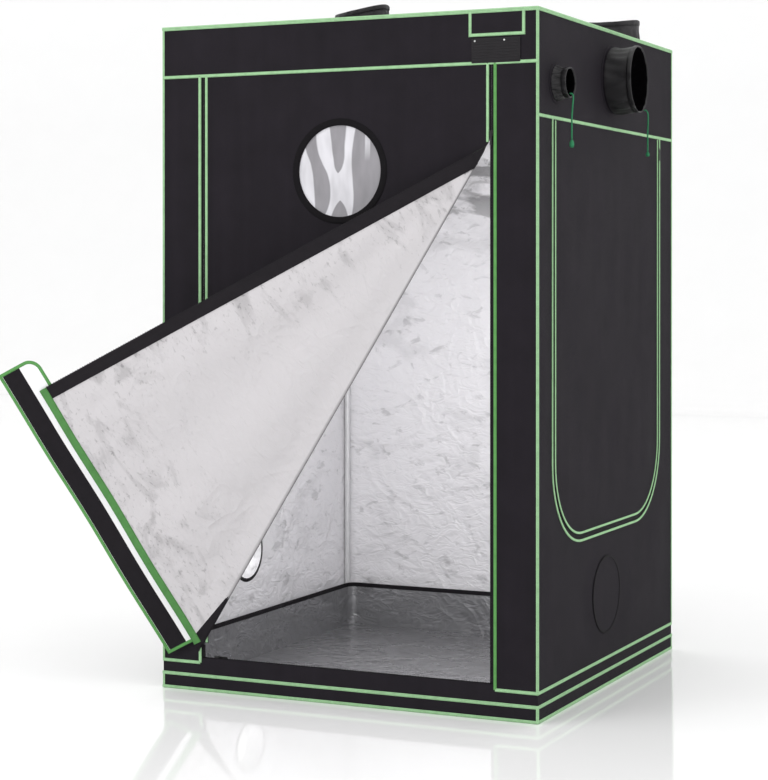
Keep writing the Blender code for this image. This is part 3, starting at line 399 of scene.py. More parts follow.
def cloth_material(name, colour, specular=0.16, roughness=0.78):
    made, tree, shader, metres = start(name, roughness, specular=specular)
    woven = use(tree, "plain_weave", Metres=metres, Thread=sizes().thread)
    tone = shades(tree, woven["Shade"], scaled(colour, 0.72), scaled(colour, 1.30), 0.32, 0.68)
    feed(tree, shader, "Base Color", tone)
    under = bump(tree, shader, noise(tree, metres, 7.0, 3.0), 0.012, 0.25)
    bump(tree, shader, woven["Height"], 0.0003, 0.6, Normal=under)
    return made


def more_shade_high_up(tree, metres):
    """More painted shade high on the walls, where the lining hangs in folds."""
    return ranged(tree, across_and_up(tree, metres)[1], 1.38, 1.60, 0.85, 1.75)


def painted_fold_shade(tree, metres):
    """Level grey bands high on the walls: painted shade of the folds where the slack lining hangs."""
    folds = noise(tree, mapped(tree, metres, Scale=(1.0, 3.2, 1.0)), 3.4, 5.0, Distortion=1.2)
    bands = ranged(tree, folds, 0.46, 0.57, 1.0, 0.10)
    return calc(tree, "MULTIPLY", bands, ranged(tree, across_and_up(tree, metres)[1], 1.28, 1.52))


def shade_by_the_hems(tree, metres):
    """The flap's lining gets little painted crumple shade in the middle, and more beside its hem tape and its
    foot.
    """
    across, up = across_and_up(tree, metres)
    hem_u = DOOR_HALF - FLAP_HEM
    return calc(tree, "MAXIMUM", ranged(tree, across, hem_u - 0.20, hem_u - 0.03, 0.30, 1.15),
                ranged(tree, up, DOOR_FOOT + 0.10, DOOR_FOOT + 0.38, 1.20, 0.30))


def painted_crease_shade(tree, metres):
    """Painted shade along the flap's crease: 1 on the roll, and fading beside it."""
    across, up = across_and_up(tree, metres)
    along = calc(tree, "ADD", across, DOOR_HALF)
    away = calc(tree, "SUBTRACT", calc(tree, "MULTIPLY", along, CREASE_SLOPE / CREASE_RISE),
                calc(tree, "MULTIPLY_ADD", up, 1 / CREASE_RISE, -CREASE_FOOT / CREASE_RISE))
    reach = ranged(tree, along, 0.0, 2 * DOOR_HALF, 0.0180, 0.0058)
    fade = ranged(tree, along, 0.0, 2 * DOOR_HALF, 0.0130, 0.0030)
    return ranged(tree, calc(tree, "DIVIDE", calc(tree, "SUBTRACT", away, reach), fade), -0.3, 1.0, 1.0, 0.0)


def lining_material(name, colour, scales, depth, dark, metallic, roughness, patchy=0.5, flecky=0.5,
                    where=None, line=None):
    """Foil lining. Its grey patches and flecks darken its colour, as painted shade of its crumples. scales
    are those of its creases, patches and flecks, and dark is its patches' share of the colour. where says how
    much of that painted shade each place gets, and line adds lines of painted shade."""
    made, tree, shader, metres = start(name, roughness, metallic)
    film = use(tree, "crumpled_film", Metres=metres, **dict(zip(("Creases", "Patches", "Flecks"), scales)))
    grey = calc(tree, "MULTIPLY_ADD", film["Patches"], patchy, calc(tree, "MULTIPLY", film["Flecks"], flecky))
    if where:
        grey = calc(tree, "MULTIPLY", grey, where(tree, metres))
    if line:
        grey = calc(tree, "MAXIMUM", grey, line(tree, metres))
    feed(tree, shader, "Base Color", shades(tree, grey, scaled(colour, 1.04), scaled(colour, dark), 0.15))
    feed(tree, shader, "Roughness", ranged(tree, grey, 0.0, 1.0, roughness - 0.04, roughness + 0.16))
    under = bump(tree, shader, film["Height"], depth, 0.7)
    bump(tree, shader, noise(tree, metres, 420.0, 1.0), 0.0003, 0.35, Normal=under)
    return made


def tape_material(name, colour, rows=0.0034, specular=0.25, rib=0.0013):
    made, tree, shader, metres = start(name, 0.66, specular=specular)
    tape = use(tree, "ribbed_tape", Metres=metres, Rows=rows, Rib=rib)
    wear = use(tree, "rub_marks", Place=metres, Size=30.0)
    worn = shades(tree, wear["Mask"], scaled(colour, 1.10), scaled(colour, 0.80))
    feed(tree, shader, "Base Color", mixed(tree, tape["Stitches"], worn, (*scaled(colour, 0.62), 1)))
    bump(tree, shader, tape["Height"], 0.0004, 0.7)
    return made


# Painted reflections in the window film, as grey streaks: the left and the right side of each, as (height,
# place) over the pane
REFLECTION_STREAKS = [
    ([(0.0, 0.20), (0.26, 0.18), (0.57, 0.145), (0.73, 0.085), (1.0, 0.02)],
     [(0.0, 0.30), (0.10, 0.35), (0.28, 0.378), (0.46, 0.35), (0.59, 0.285), (0.73, 0.23), (1.0, 0.21)]),
    ([(0.44, 0.60), (0.48, 0.475), (0.66, 0.418), (0.82, 0.395), (1.0, 0.37)],
     [(0.44, 0.40), (0.48, 0.485), (0.56, 0.54), (0.82, 0.56), (1.0, 0.58)]),
    ([(0.0, 0.64), (0.20, 0.667), (0.38, 0.66), (0.62, 0.645), (0.82, 0.66), (1.0, 0.70)],
     [(0.0, 1.0), (1.0, 1.0)]),
    ([(0.0, 0.39), (0.17, 0.485), (0.22, 0.60)], [(0.0, 0.60), (0.17, 0.515), (0.22, 0.40)]),
]


def film_material(name):
    """Clear window film with painted reflections: broad upright streaks of light and grey, and a painted
    highlight.
    """
    made, tree, shader, metres = start(name, 0.14, specular=0.4, Coat_Weight=0.2, Coat_Roughness=0.05)
    across, up = (ranged(tree, part, middle - WINDOW_RADIUS, middle + WINDOW_RADIUS)
                  for part, middle in zip(across_and_up(tree, metres), WINDOW))
    grey = 0.0
    for left, right in REFLECTION_STREAKS:
        gaps = (calc(tree, "SUBTRACT", across, curve_of(tree, up, left)),
                calc(tree, "SUBTRACT", curve_of(tree, up, right), across))
        band = calc(tree, "MULTIPLY", *[ranged(tree, gap, -0.006, 0.008) for gap in gaps])
        grey = calc(tree, "ADD", grey, band)
    # A narrow lighter band high on the right of the pane: a painted highlight.
    painted_highlight = ranged(tree, up, 0.60, 0.80, 0.0, 0.85)
    for edge in (ranged(tree, across, 0.800, 0.812), ranged(tree, across, 0.862, 0.874, 1.0, 0.0)):
        painted_highlight = calc(tree, "MULTIPLY", painted_highlight, edge)
    grey = calc(tree, "SUBTRACT", grey, painted_highlight)
    veil = noise(tree, mapped(tree, metres, Scale=(1.0, 0.30, 1.0)), 26.0)
    streaks = shades(tree, grey, (0.70, 0.69, 0.73), (0.285, 0.275, 0.295))
    tint = shades(tree, veil, (0.78,) * 3, (1.0,) * 3, 0.25, 0.60)
    feed(tree, shader, "Base Color", mixed(tree, 1.0, streaks, tint, "MULTIPLY"))
    bump(tree, shader, veil, 0.002, 0.3)
    return made


def hard_material(name, colour, roughness, dust, metallic=0.0, specular=0.5):
    """Paint, moulded plastic or metal, over the object's own coordinates."""
    made, tree, shader, _ = start(name, roughness, metallic, specular)
    place = put(tree, "ShaderNodeTexCoord").outputs["Object"]
    wear = use(tree, "rub_marks", Place=place, Size=22.0)
    feed(tree, shader, "Base Color", shades(tree, wear["Mask"], colour, scaled(colour, dust)))
    feed(tree, shader, "Roughness", ranged(tree, wear["Mask"], 0.0, 1.0, roughness, min(1, roughness + 0.2)))
    bump(tree, shader, noise(tree, place, 900.0), 0.0002, 0.3)
    return made


def net_material(name):
    made, tree, shader, metres = start(name, 0.8, specular=0.2)
    woven = use(tree, "plain_weave", Metres=metres, Thread=0.0015)
    feed(tree, shader, "Base Color", shades(tree, woven["Shade"], (0.012,) * 3, (0.03,) * 3))
    return made


def floor_material(name):
    """White studio floor with a faint sheen."""
    made, tree, shader, _ = start(name, 0.07, specular=0.42)
    faint = noise(tree, put(tree, "ShaderNodeTexCoord").outputs["Object"], 3.0)
    feed(tree, shader, "Base Color", shades(tree, faint, (0.90,) * 3, (0.92,) * 3))
    return made


def make_materials():
    """Each finish by its name."""
    tone = bpy.context.scene.tent_colours
    dark = (0.0085, 0.0070, 0.0090)
    finishes = [
        (cloth_material, "black_cloth", tone.cloth),
        (cloth_material, "sleeve_cloth", scaled(tone.cloth, 0.40), 0.44, 0.44),
        # A much darker copy of the cloth for the inside of the sleeves: painted shade.
        (cloth_material, "sleeve_inside", scaled(tone.cloth, 0.10), 0.02, 0.95),
        # The linings' grey patches, flecks and lines are painted shade of their crumples, their folds and the
        # flap's crease.
        (lining_material, "silver_lining", tone.silver, (5.0, 2.6, 34.0), 0.010, 0.76, 0.12, 0.40),
        (lining_material, "flap_lining", tone.silver, (5.0, 6.0, 60.0), 0.007, 0.42, 0.12, 0.38, 0.42, 0.34,
         shade_by_the_hems, painted_crease_shade),
        (lining_material, "white_lining", tone.lining, (5.0, 2.6, 15.0), 0.010, 0.34, 0.06, 0.38, 0.36, 0.36,
         more_shade_high_up, painted_fold_shade),
        (lining_material, "tray_lining", (0.28, 0.28, 0.29), (4.0, 2.6, 12.0), 0.010, 0.72, 0.45, 0.28),
        (lining_material, "strip_lining", (0.86, 0.86, 0.87), (9.0, 2.6, 30.0), 0.003, 0.95, 0.0, 0.5),
        (tape_material, "pale_piping", tone.pale),
        (tape_material, "green_piping", tone.green),
        # A darker copy of the green binding for the flap's foot: painted shade.
        (tape_material, "foot_binding", scaled(tone.green, 0.76), 0.0095),
        (tape_material, "black_tape", dark, 0.006, 0.16),
        (tape_material, "ring_tape", scaled(dark, 0.62), 0.006, 0.10),
        (tape_material, "hem_tape", scaled(dark, 1.3), 0.0172, 0.16),
        (tape_material, "hook_tape", scaled(dark, 1.2), 0.0262, 0.14, 0.0021),
        (tape_material, "flap_tape", (0.0150, 0.0135, 0.0155), 0.030, 0.2),
        (film_material, "clear_film"),
        (hard_material, "frame_paint", (0.74, 0.74, 0.75), 0.30, 0.88, 0.2),
        (hard_material, "fitting_plastic", (0.02,) * 3, 0.45, 1.6),
        (hard_material, "slider_metal", (0.02,) * 3, 0.35, 1.8, 0.6),
        (hard_material, "snap_metal", (0.62,) * 3, 0.28, 0.7, 0.9),
        (hard_material, "zip_teeth", (0.008,) * 3, 0.5, 1.4, 0.0, 0.3),
        (tape_material, "cord_green", tone.cord, 0.009),
        (net_material, "net"),
    ]
    return {name: make(name, *values) for make, name, *values in finishes}


# Points and outlines
def on_face(face):
    """The matrix that takes a face's own (u, v, w) to the cover's frame."""
    location, rotation = FACES[face]
    return Matrix.Translation(location) @ Euler(rotation).to_matrix().to_4x4()


def moved(points, matrix):
    turn = np.array(matrix)
    return points @ turn[:3, :3].T + turn[:3, 3]


def sides(points, closed=True):
    """Each point with the next one."""
    return list(zip(points, points[1:] + points[:1] if closed else points[1:]))


def divided(a, b, size, count=ceil, last=0):
    """Points about size apart from a towards b, and with last=1 b too."""
    steps = max(1, count(hypot(b[0] - a[0], b[1] - a[1]) / size))
    return [(a[0] + (b[0] - a[0]) * i / steps, a[1] + (b[1] - a[1]) * i / steps) for i in range(steps + last)]


def rect(half, low, high):
    return [(-half, low), (half, low), (half, high), (-half, high)]


def circle(middle, radius, count=64):
    turn = 2 * pi / count
    return [(middle[0] + radius * cos(i * turn), middle[1] + radius * sin(i * turn)) for i in range(count)]


def quarter(centre, radius, start_angle, steps):
    """Points round a quarter of a circle."""
    angles = [start_angle + step * (pi / 2) / steps for step in range(steps + 1)]
    return [(centre[0] + radius * cos(angle), centre[1] + radius * sin(angle)) for angle in angles]


def u_run(out, top, tight=0.0):
    """A U that stands out from the side opening's edge, from its left top round the foot to its right top."""
    half, foot, corner = SIDE_OPEN_HALF + out, SIDE_DOOR_FOOT - out, SIDE_DOOR_CORNER + out - tight
    points = [(SIDE_SHIFT - half, top)]
    for side, start_angle in ((-1, pi), (1, 1.5 * pi)):
        points += quarter((SIDE_SHIFT + side * (half - corner), foot + corner), corner, start_angle, 16)
    return points + [(SIDE_SHIFT + half, top)]


def crease_z(u):
    return CREASE_FOOT + (u + DOOR_HALF) * CREASE_SLOPE


def from_crease(u, v):
    """How far a point lies along the crease from its foot, and how far below it."""
    return (((u + DOOR_HALF) + (v - CREASE_FOOT) * CREASE_SLOPE) / CREASE_RISE,
            ((u + DOOR_HALF) * CREASE_SLOPE - (v - CREASE_FOOT)) / CREASE_RISE)


def crease_point(along, away):
    """The (u, v) point that lies this far along the crease from its foot, and this far below it."""
    return (-DOOR_HALF + (along + away * CREASE_SLOPE) / CREASE_RISE,
            CREASE_FOOT + (along * CREASE_SLOPE - away) / CREASE_RISE)


def ripples(u, v, seed, size, count=7):
    """Smooth waves in many directions, about -1 to 1. size is their length in metres."""
    draw = np.random.default_rng(seed)
    total = np.zeros_like(u, float)
    for _ in range(count):
        angle, long, phase = draw.uniform(0, pi), size * draw.uniform(0.6, 1.7), draw.uniform(0, 2 * pi)
        total += np.sin((u * cos(angle) + v * sin(angle)) * 2 * pi / long + phase)
    return total / sqrt(count)


def crumple(u, v, seed, size):
    """Flat facets between sharp creases, 0 to about 1."""
    first = 1 - np.abs(np.clip(ripples(u, v, seed, size), -1, 1))
    second = 1 - np.abs(np.clip(ripples(u, v, seed + 1, size * 0.45), -1, 1))
    return 0.65 * first + 0.35 * second


def ease(x):
    x = np.clip(x, 0, 1)
    return x * x * (3 - 2 * x)


# Flat cloth
def segment_ends(loops):
    return np.array([pair for loop in loops for pair in sides(loop)], float)


def far_from(points, ends):
    """Distance from each point to the nearest of some line segments."""
    best = np.full(len(points), 1e9)
    for a, b in ends:
        along = b - a
        share = np.clip(((points - a) @ along) / max(along @ along, 1e-12), 0, 1)
        gap = points - (a + share[:, None] * along)
        best = np.minimum(best, np.hypot(gap[:, 0], gap[:, 1]))
    return best


def inside(points, ends):
    """Which points lie in an outline and out of its holes."""
    count = np.zeros(len(points), int)
    for (ax, ay), (bx, by) in ends:
        if ay == by:
            continue
        over = (points[:, 1] >= min(ay, by)) & (points[:, 1] < max(ay, by))
        cross = ax + (points[:, 1] - ay) * (bx - ax) / (by - ay)
        count += over & (cross > points[:, 0])
    return count % 2 == 1


def doubled_areas(points, faces):
    """Twice the area of each triangle, below zero where it is turned over."""
    a, b, c = (points[faces[:, i]] for i in range(3))
    return (b[:, 0] - a[:, 0]) * (c[:, 1] - a[:, 1]) - (b[:, 1] - a[:, 1]) * (c[:, 0] - a[:, 0])


def cut_cloth(loops, pitch, lines=()):
    """Points and triangles of flat cloth: an outline, then holes. Its edges also follow the given lines."""
    rims, edges = [], []
    for loop in loops:
        first = len(rims)
        for a, b in sides(loop):
            rims += divided(a, b, pitch, round)
        edges += [(i, i + 1) for i in range(first, len(rims) - 1)] + [(len(rims) - 1, first)]
    for a, b in lines:
        first = len(rims)
        rims += divided(a, b, pitch, round, last=1)
        edges += [(i, i + 1) for i in range(first, len(rims) - 1)]
    outline = np.array(loops[0])
    low, high = outline.min(0), outline.max(0)
    rows = []
    for j, y in enumerate(np.arange(low[1] + pitch / 2, high[1], pitch * 0.87)):
        x = np.arange(low[0] + (pitch / 2 if j % 2 else 0), high[0], pitch)
        rows.append(np.column_stack([x, np.full(len(x), y)]))
    grid = np.concatenate(rows)
    ends = segment_ends(loops)
    grid = grid[inside(grid, ends)]
    every = np.concatenate([ends, np.array(lines, float)]) if len(lines) else ends
    grid = grid[far_from(grid, every) > pitch * 0.45]
    flat = [Vector(p) for p in rims] + [Vector(p) for p in grid]
    points, _, faces, *_ = delaunay_2d_cdt(flat, edges, [], 0, 1e-7)
    points = np.array([tuple(p) for p in points])
    faces = np.array([f for f in faces if len(f) == 3])
    faces = faces[inside(points[faces].mean(1), ends)]
    over = doubled_areas(points, faces) < 0
    faces[over] = faces[over][:, ::-1]
    used, index = np.unique(faces, return_inverse=True)
    return points[used], index.reshape(-1, 3)


def open_edges(faces):
    """Directed edges that only one triangle has."""
    edges = np.concatenate([faces[:, [0, 1]], faces[:, [1, 2]], faces[:, [2, 0]]])
    seen = {tuple(e) for e in edges}
    return np.array([e for e in edges if (e[1], e[0]) not in seen])


# Mesh objects
def linked(name, data):
    """A new object in the scene."""
    made = bpy.data.objects.new(name, data)
    bpy.context.scene.collection.objects.link(made)
    return made


def lay(name, points, faces, looks, marks, metres, matrix=None, weld=0.0):
    """A mesh object from arrays. marks picks each face's finish, and metres is its UV map of that name."""
    mesh = bpy.data.meshes.new(name)
    mesh.from_pydata([tuple(p) for p in points], [], [tuple(int(i) for i in f) for f in faces])
    layer = mesh.uv_layers.new(name="metres")
    corner = np.zeros(len(mesh.loops), int)
    mesh.loops.foreach_get("vertex_index", corner)
    layer.data.foreach_set("uv", np.asarray(metres, np.float32)[corner].ravel())
    for look in looks:
        mesh.materials.append(LOOK[look])
    mesh.polygons.foreach_set("material_index", np.asarray(marks, np.int32))
    if matrix is not None:
        mesh.transform(matrix)
    mesh.validate()
    tidy = bmesh.new()
    tidy.from_mesh(mesh)
    if weld:
        bmesh.ops.remove_doubles(tidy, verts=tidy.verts, dist=weld)
    bmesh.ops.recalc_face_normals(tidy, faces=tidy.faces)
    tidy.to_mesh(mesh)
    tidy.free()
    mesh.shade_smooth()
    mesh.set_sharp_from_angle(angle=radians(50))
    return linked(name, mesh)


def lay_sheet(name, points, faces, outer, inner, looks, matrix=None, inner_marks=1):
    """A closed mesh from a flat sheet's points and triangles, and where its outer and inner sides lie."""
    count = len(points)
    whole = [tuple(f) for f in faces] + [tuple(f[::-1] + count) for f in faces]
    whole += [(a, b, b + count, a + count) for a, b in open_edges(faces)]
    marks = np.zeros(len(whole), int)
    marks[len(faces):2 * len(faces)] = inner_marks
    metres = np.concatenate([points, points])
    return lay(name, np.concatenate([outer, inner]), whole, looks, marks, metres, matrix)


def attach(made, body, nodes):
    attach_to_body(made, body)
    if nodes:
        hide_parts(*nodes)
    return made


def cloth(name, face, loops, looks, node, body="tent", slot="black_cloth", pitch=None, seams=(), seed=1,
          billow=1.0, crinkle=1.0, thick=CLOTH, foot=-CLOTH, held="stretched", with_pieces=(), slack=0.0):
    """A sewn panel: outer cloth that billows a little, and a lining that crinkles and is slack high up."""
    points, faces = cut_cloth(loops, pitch or sizes().cloth_pitch)
    ends = segment_ends(loops)
    if seams:
        ends = np.concatenate([ends, np.array(seams, float)])
    u, v = points[:, 0], points[:, 1]
    gap = far_from(points, ends)
    billow_edge, crinkle_edge, slack_edge, slack_from = 0.13, 0.05, 0.09, 1.40
    wave = ripples(u, v, seed, 0.75) + 0.25 * ripples(u, v, seed + 7, 0.2)
    wave = sizes().billow * billow * ease(gap / billow_edge) * wave
    deep = sizes().crinkle * crinkle * ease(gap / crinkle_edge) * crumple(u, v, seed + 3, 0.17)
    hung = slack * ease((v - slack_from) / 0.20) * ease(gap / slack_edge)
    deep += hung * crumple(u * 0.5, v * 1.7, seed + 9, 0.15)
    outer = np.column_stack([u, v, wave + foot + thick])
    inner = np.column_stack([u, v, wave + foot - deep])
    made = lay_sheet(name, points, faces, outer, inner, looks, on_face(face))
    attach(made, body, [node])


# Sections of a band, as shares of its width and height
CROWN = [(-0.5, 0.0), (-0.5, 0.45), (-0.4, 0.8), (-0.2, 1.0), (0.2, 1.0), (0.4, 0.8), (0.5, 0.45), (0.5, 0.0)]
FLAT_CROWN = [(-0.5, 0.0), (-0.5, 0.7), (-0.46, 1.0), (0.46, 1.0), (0.5, 0.7), (0.5, 0.0)]
WIDE_CROWN = [(-0.5, 0.0), (-0.5, 0.7), *[(x, 1.0) for x in (-0.48, -0.3, -0.1, 0.1, 0.3, 0.48)], (0.5, 0.7),
              *[(x, 0.0) for x in (0.5, 0.3, 0.1, -0.1, -0.3)]]


# Bands, teeth, and swept and turned shapes: each is (corners, faces, metres)
def skin(rings, n, closed=False, ends=2):
    """Faces between rings of n corners each. A row that isn't closed gets its end faces."""
    faces = []
    for i in range(rings if closed else rings - 1):
        j = (i + 1) % rings
        faces += [(i * n + k, i * n + (k + 1) % n, j * n + (k + 1) % n, j * n + k) for k in range(n)]
    if not closed:
        faces += [tuple(range(n)), tuple(range((rings - 1) * n, rings * n))][:ends]
    return faces


def strip_of(points, width, foot, high, closed=False, profile=CROWN, step=0.03):
    """A rounded band along (u, v) points, with corners (u, v, w)."""
    path = [p for a, b in sides(points, closed) for p in divided(a, b, step)]
    if not closed:
        path.append(points[-1])
    path = np.array(path)
    before = path - np.roll(path, 1, 0)
    after = np.roll(path, -1, 0) - path
    if not closed:
        before[0], after[-1] = after[0], before[-1]
    before /= np.linalg.norm(before, axis=1)[:, None]
    after /= np.linalg.norm(after, axis=1)[:, None]
    tangent = before + after
    tangent /= np.linalg.norm(tangent, axis=1)[:, None]
    side = np.column_stack([-tangent[:, 1], tangent[:, 0]])
    stretch = 1 / np.maximum(0.5, (tangent * after).sum(1))
    walked = np.concatenate([[0], np.cumsum(np.linalg.norm(np.diff(path, axis=0), axis=1))])
    corners, metres = [], []
    for i in range(len(path)):
        for across, rise in profile:
            shift = side[i] * across * width * stretch[i]
            corners.append((path[i][0] + shift[0], path[i][1] + shift[1], foot + rise * high))
            metres.append((walked[i], across * width))
    return corners, skin(len(path), len(profile), closed), metres


def tooth_row(points, pitch, foot, wide=0.0060, high=0.0016, long=0.0022, stagger=0.0008):
    """Coil teeth along (u, v) points, with a gap between each and the next."""
    corners, faces, metres = [], [], []
    box = [(x * size, y * share, z) for z, size, share in ((0, 1, 1), (1, 0.8, 0.6)) for x, y in CORNERS]
    sides_of_box = [(0, 3, 2, 1), (4, 5, 6, 7), (0, 1, 5, 4), (1, 2, 6, 5), (2, 3, 7, 6), (3, 0, 4, 7)]
    walked, due, number = 0.0, pitch / 2, 0
    for a, b in sides(points, closed=False):
        run = hypot(b[0] - a[0], b[1] - a[1])
        if run == 0:
            continue
        du, dv = (b[0] - a[0]) / run, (b[1] - a[1]) / run
        while due <= walked + run:
            t = due - walked
            off = stagger if number % 2 else -stagger
            mid_u, mid_v = a[0] + du * t - dv * off, a[1] + dv * t + du * off
            first = len(corners)
            for x, y, z in box:
                x, y = x * wide / 2, y * long / 2
                corners.append((mid_u + du * y - dv * x, mid_v + dv * y + du * x, foot + z * high))
                metres.append((due + y, x))
            faces += [tuple(first + i for i in side) for side in sides_of_box]
            due += pitch
            number += 1
        walked += run
    return corners, faces, metres


def turned(profile, steps, wobble=lambda radius, height, angle: radius):
    """A closed profile of (radius, height) spun about Z. wobble gives each point's own radius."""
    corners, metres = [], []
    for i in range(steps):
        angle = 2 * pi * i / steps
        for radius, height in profile:
            reach = wobble(radius, height, angle)
            corners.append((reach * cos(angle), reach * sin(angle), height))
            metres.append((angle * radius, height))
    return np.array(corners), skin(steps, len(profile), closed=True), metres


def side_metres(n):
    """Places across a narrow binding's tape, for each corner of its profile."""
    return [0.004 * (k % 3 - 1) for k in range(n)]


def prism(outline, low, high, step=0.05):
    """An upright prism of an (x, y) outline."""
    count = max(1, ceil((high - low) / step))
    levels = [low + (high - low) * i / count for i in range(count + 1)]
    corners = [(x, y, z) for z in levels for x, y in outline]
    metres = [(z, across) for z in levels for across in side_metres(len(outline))]
    return corners, skin(count + 1, len(outline)), metres


def around(profile, step=0.04):
    """A closed profile of (outward, z) swept round the four corners of the cover."""
    path = []
    for (ax, ay), (bx, by) in sides(list(CORNERS)):
        path.append((ax * HALF_W, ay * HALF_D, ax, ay))
        steps = ceil(2 * HALF_W / step)
        for share in [k / steps for k in range(1, steps)]:
            x, y = (ax + (bx - ax) * share) * HALF_W, (ay + (by - ay) * share) * HALF_D
            path.append((x, y, ax if ax == bx else 0, ay if ay == by else 0))
    corners = [(x + dx * out, y + dy * out, z) for x, y, dx, dy in path for out, z in profile]
    metres = [(i * step, across) for i in range(len(path)) for across in side_metres(len(profile))]
    return corners, skin(len(path), len(profile), closed=True), metres


class Heap:
    """Gathers shapes into one mesh."""

    def __init__(self):
        self.points, self.faces, self.metres, self.marks = [], [], [], []

    def take(self, shape, matrix=None, place=None, mark=0):
        """Add a shape, where place or the matrix puts it, with the finish of this number."""
        corners, faces, metres = shape
        corners = np.asarray(corners, float)
        if place is not None:
            corners = place(corners)
        if matrix is not None:
            corners = moved(corners, matrix)
        first = len(self.points)
        self.points += [tuple(p) for p in corners]
        self.faces += [tuple(first + int(i) for i in f) for f in faces]
        self.metres += [tuple(m) for m in metres]
        self.marks += [mark] * len(faces)
        return self

    def band(self, points, width, foot, high, face="front", place=None, mark=0, **more):
        """Add a band on a face of the cover, or where place puts it."""
        matrix = None if place else on_face(face)
        return self.take(strip_of(points, width, foot, high, **more), matrix, place, mark)

    def teeth(self, points, foot, face="front", place=None, **more):
        """Add a row of zip teeth, which have the heap's second finish."""
        matrix = None if place else on_face(face)
        return self.take(tooth_row(points, sizes().tooth_pitch, foot, **more), matrix, place, 1)

    def done(self, name, looks, body, nodes, slot, weld=0.0):
        """Lay the mesh and attach it to its body."""
        made = lay(name, self.points, self.faces, looks, self.marks, self.metres, weld=weld)
        return attach(made, body, nodes)


# The cover
def make_panels():
    """The walls, the roof and the floor of the cover."""
    low, high = CLOTH + SEAM, HEIGHT - CLOTH - SEAM
    side_half = HALF_D - CLOTH - SEAM
    rail = HEIGHT - RAIL_LINE
    lines = [((-HALF_W, v), (HALF_W, v)) for v in (SIDE_HEAD, HEM_LINE_Z, LOW_LINE_Z, rail)]
    rails = [((u, -HALF_D), (u, HALF_D)) for u in (RAIL_LINE - HALF_W, HALF_W - RAIL_LINE)]
    front, side, flat = rect(HALF_W, low, high), rect(side_half, low, high), rect(HALF_W, -HALF_D, HALF_D)
    opening = u_run(0.0, SIDE_DOOR_TOP + 0.0005)
    ports = [circle(DUCT_PORT, DUCT_RADIUS), circle(CABLE_PORT, CABLE_RADIUS), circle(VENT, VENT_RADIUS)]
    roof_ports = [circle(port, ROOF_PORT_RADIUS) for port in (ROOF_PORT_A, ROOF_PORT_B)]
    low_port = circle(LOW_PORT, LOW_PORT_RADIUS + PROUD + 0.0005)
    for name, face, loops, node, seed, more in (
            ("front_wall", "front", [front, rect(OPEN_HALF, SILL, FRONT_HEAD)], "front_panel", 11,
             {"pitch": DOOR_PITCH, "billow": 0.5, "crinkle": 0.4, "seams": lines[1:3]}),
            ("back_wall", "back", [front], "back_panel", 23, {"seams": lines[:3], "slack": 0.010}),
            ("left_wall", "left", [side, low_port], "left_panel", 31,
             {"crinkle": 0.8, "seams": lines, "slack": 0.003}),
            ("right_wall", "right", [side, opening, *ports], "right_panel", 43,
             {"pitch": 0.015, "billow": 0.8, "crinkle": 0.8, "seams": lines}),
            ("roof", "roof", [flat, *roof_ports], "roof_panel", 53,
             {"billow": 0.8, "crinkle": 0.5, "seams": rails}),
            ("tent_floor", "floor", [flat], "floor_panel", 61,
             {"pitch": 0.03, "billow": 0.0, "crinkle": 0.0})):
        cloth(name, face, loops, ["black_cloth", "white_lining"], node, seed=seed, **more)


def corner_angle(high):
    """The rounded L of a corner binding, as (outward x, outward y), round its outer side."""
    arm = -CORNER_BINDING
    rise = SEAM + high
    points = [(arm, SEAM), (SEAM, SEAM), (SEAM, arm), (rise * 0.7, arm), (rise, arm * 0.8), (rise, -rise)]
    points += quarter((rise * 0.1, rise * 0.1), rise * 0.9, 0, 4)[1:]
    return points + [(arm * 0.8, rise), (arm, rise * 0.7)]


def corner_bindings(heap, crown, low, high):
    for sx, sy in CORNERS:
        outline = [(sx * (HALF_W + x), sy * (HALF_D + y)) for x, y in corner_angle(crown * 0.8)]
        heap.take(prism(outline, low, high))


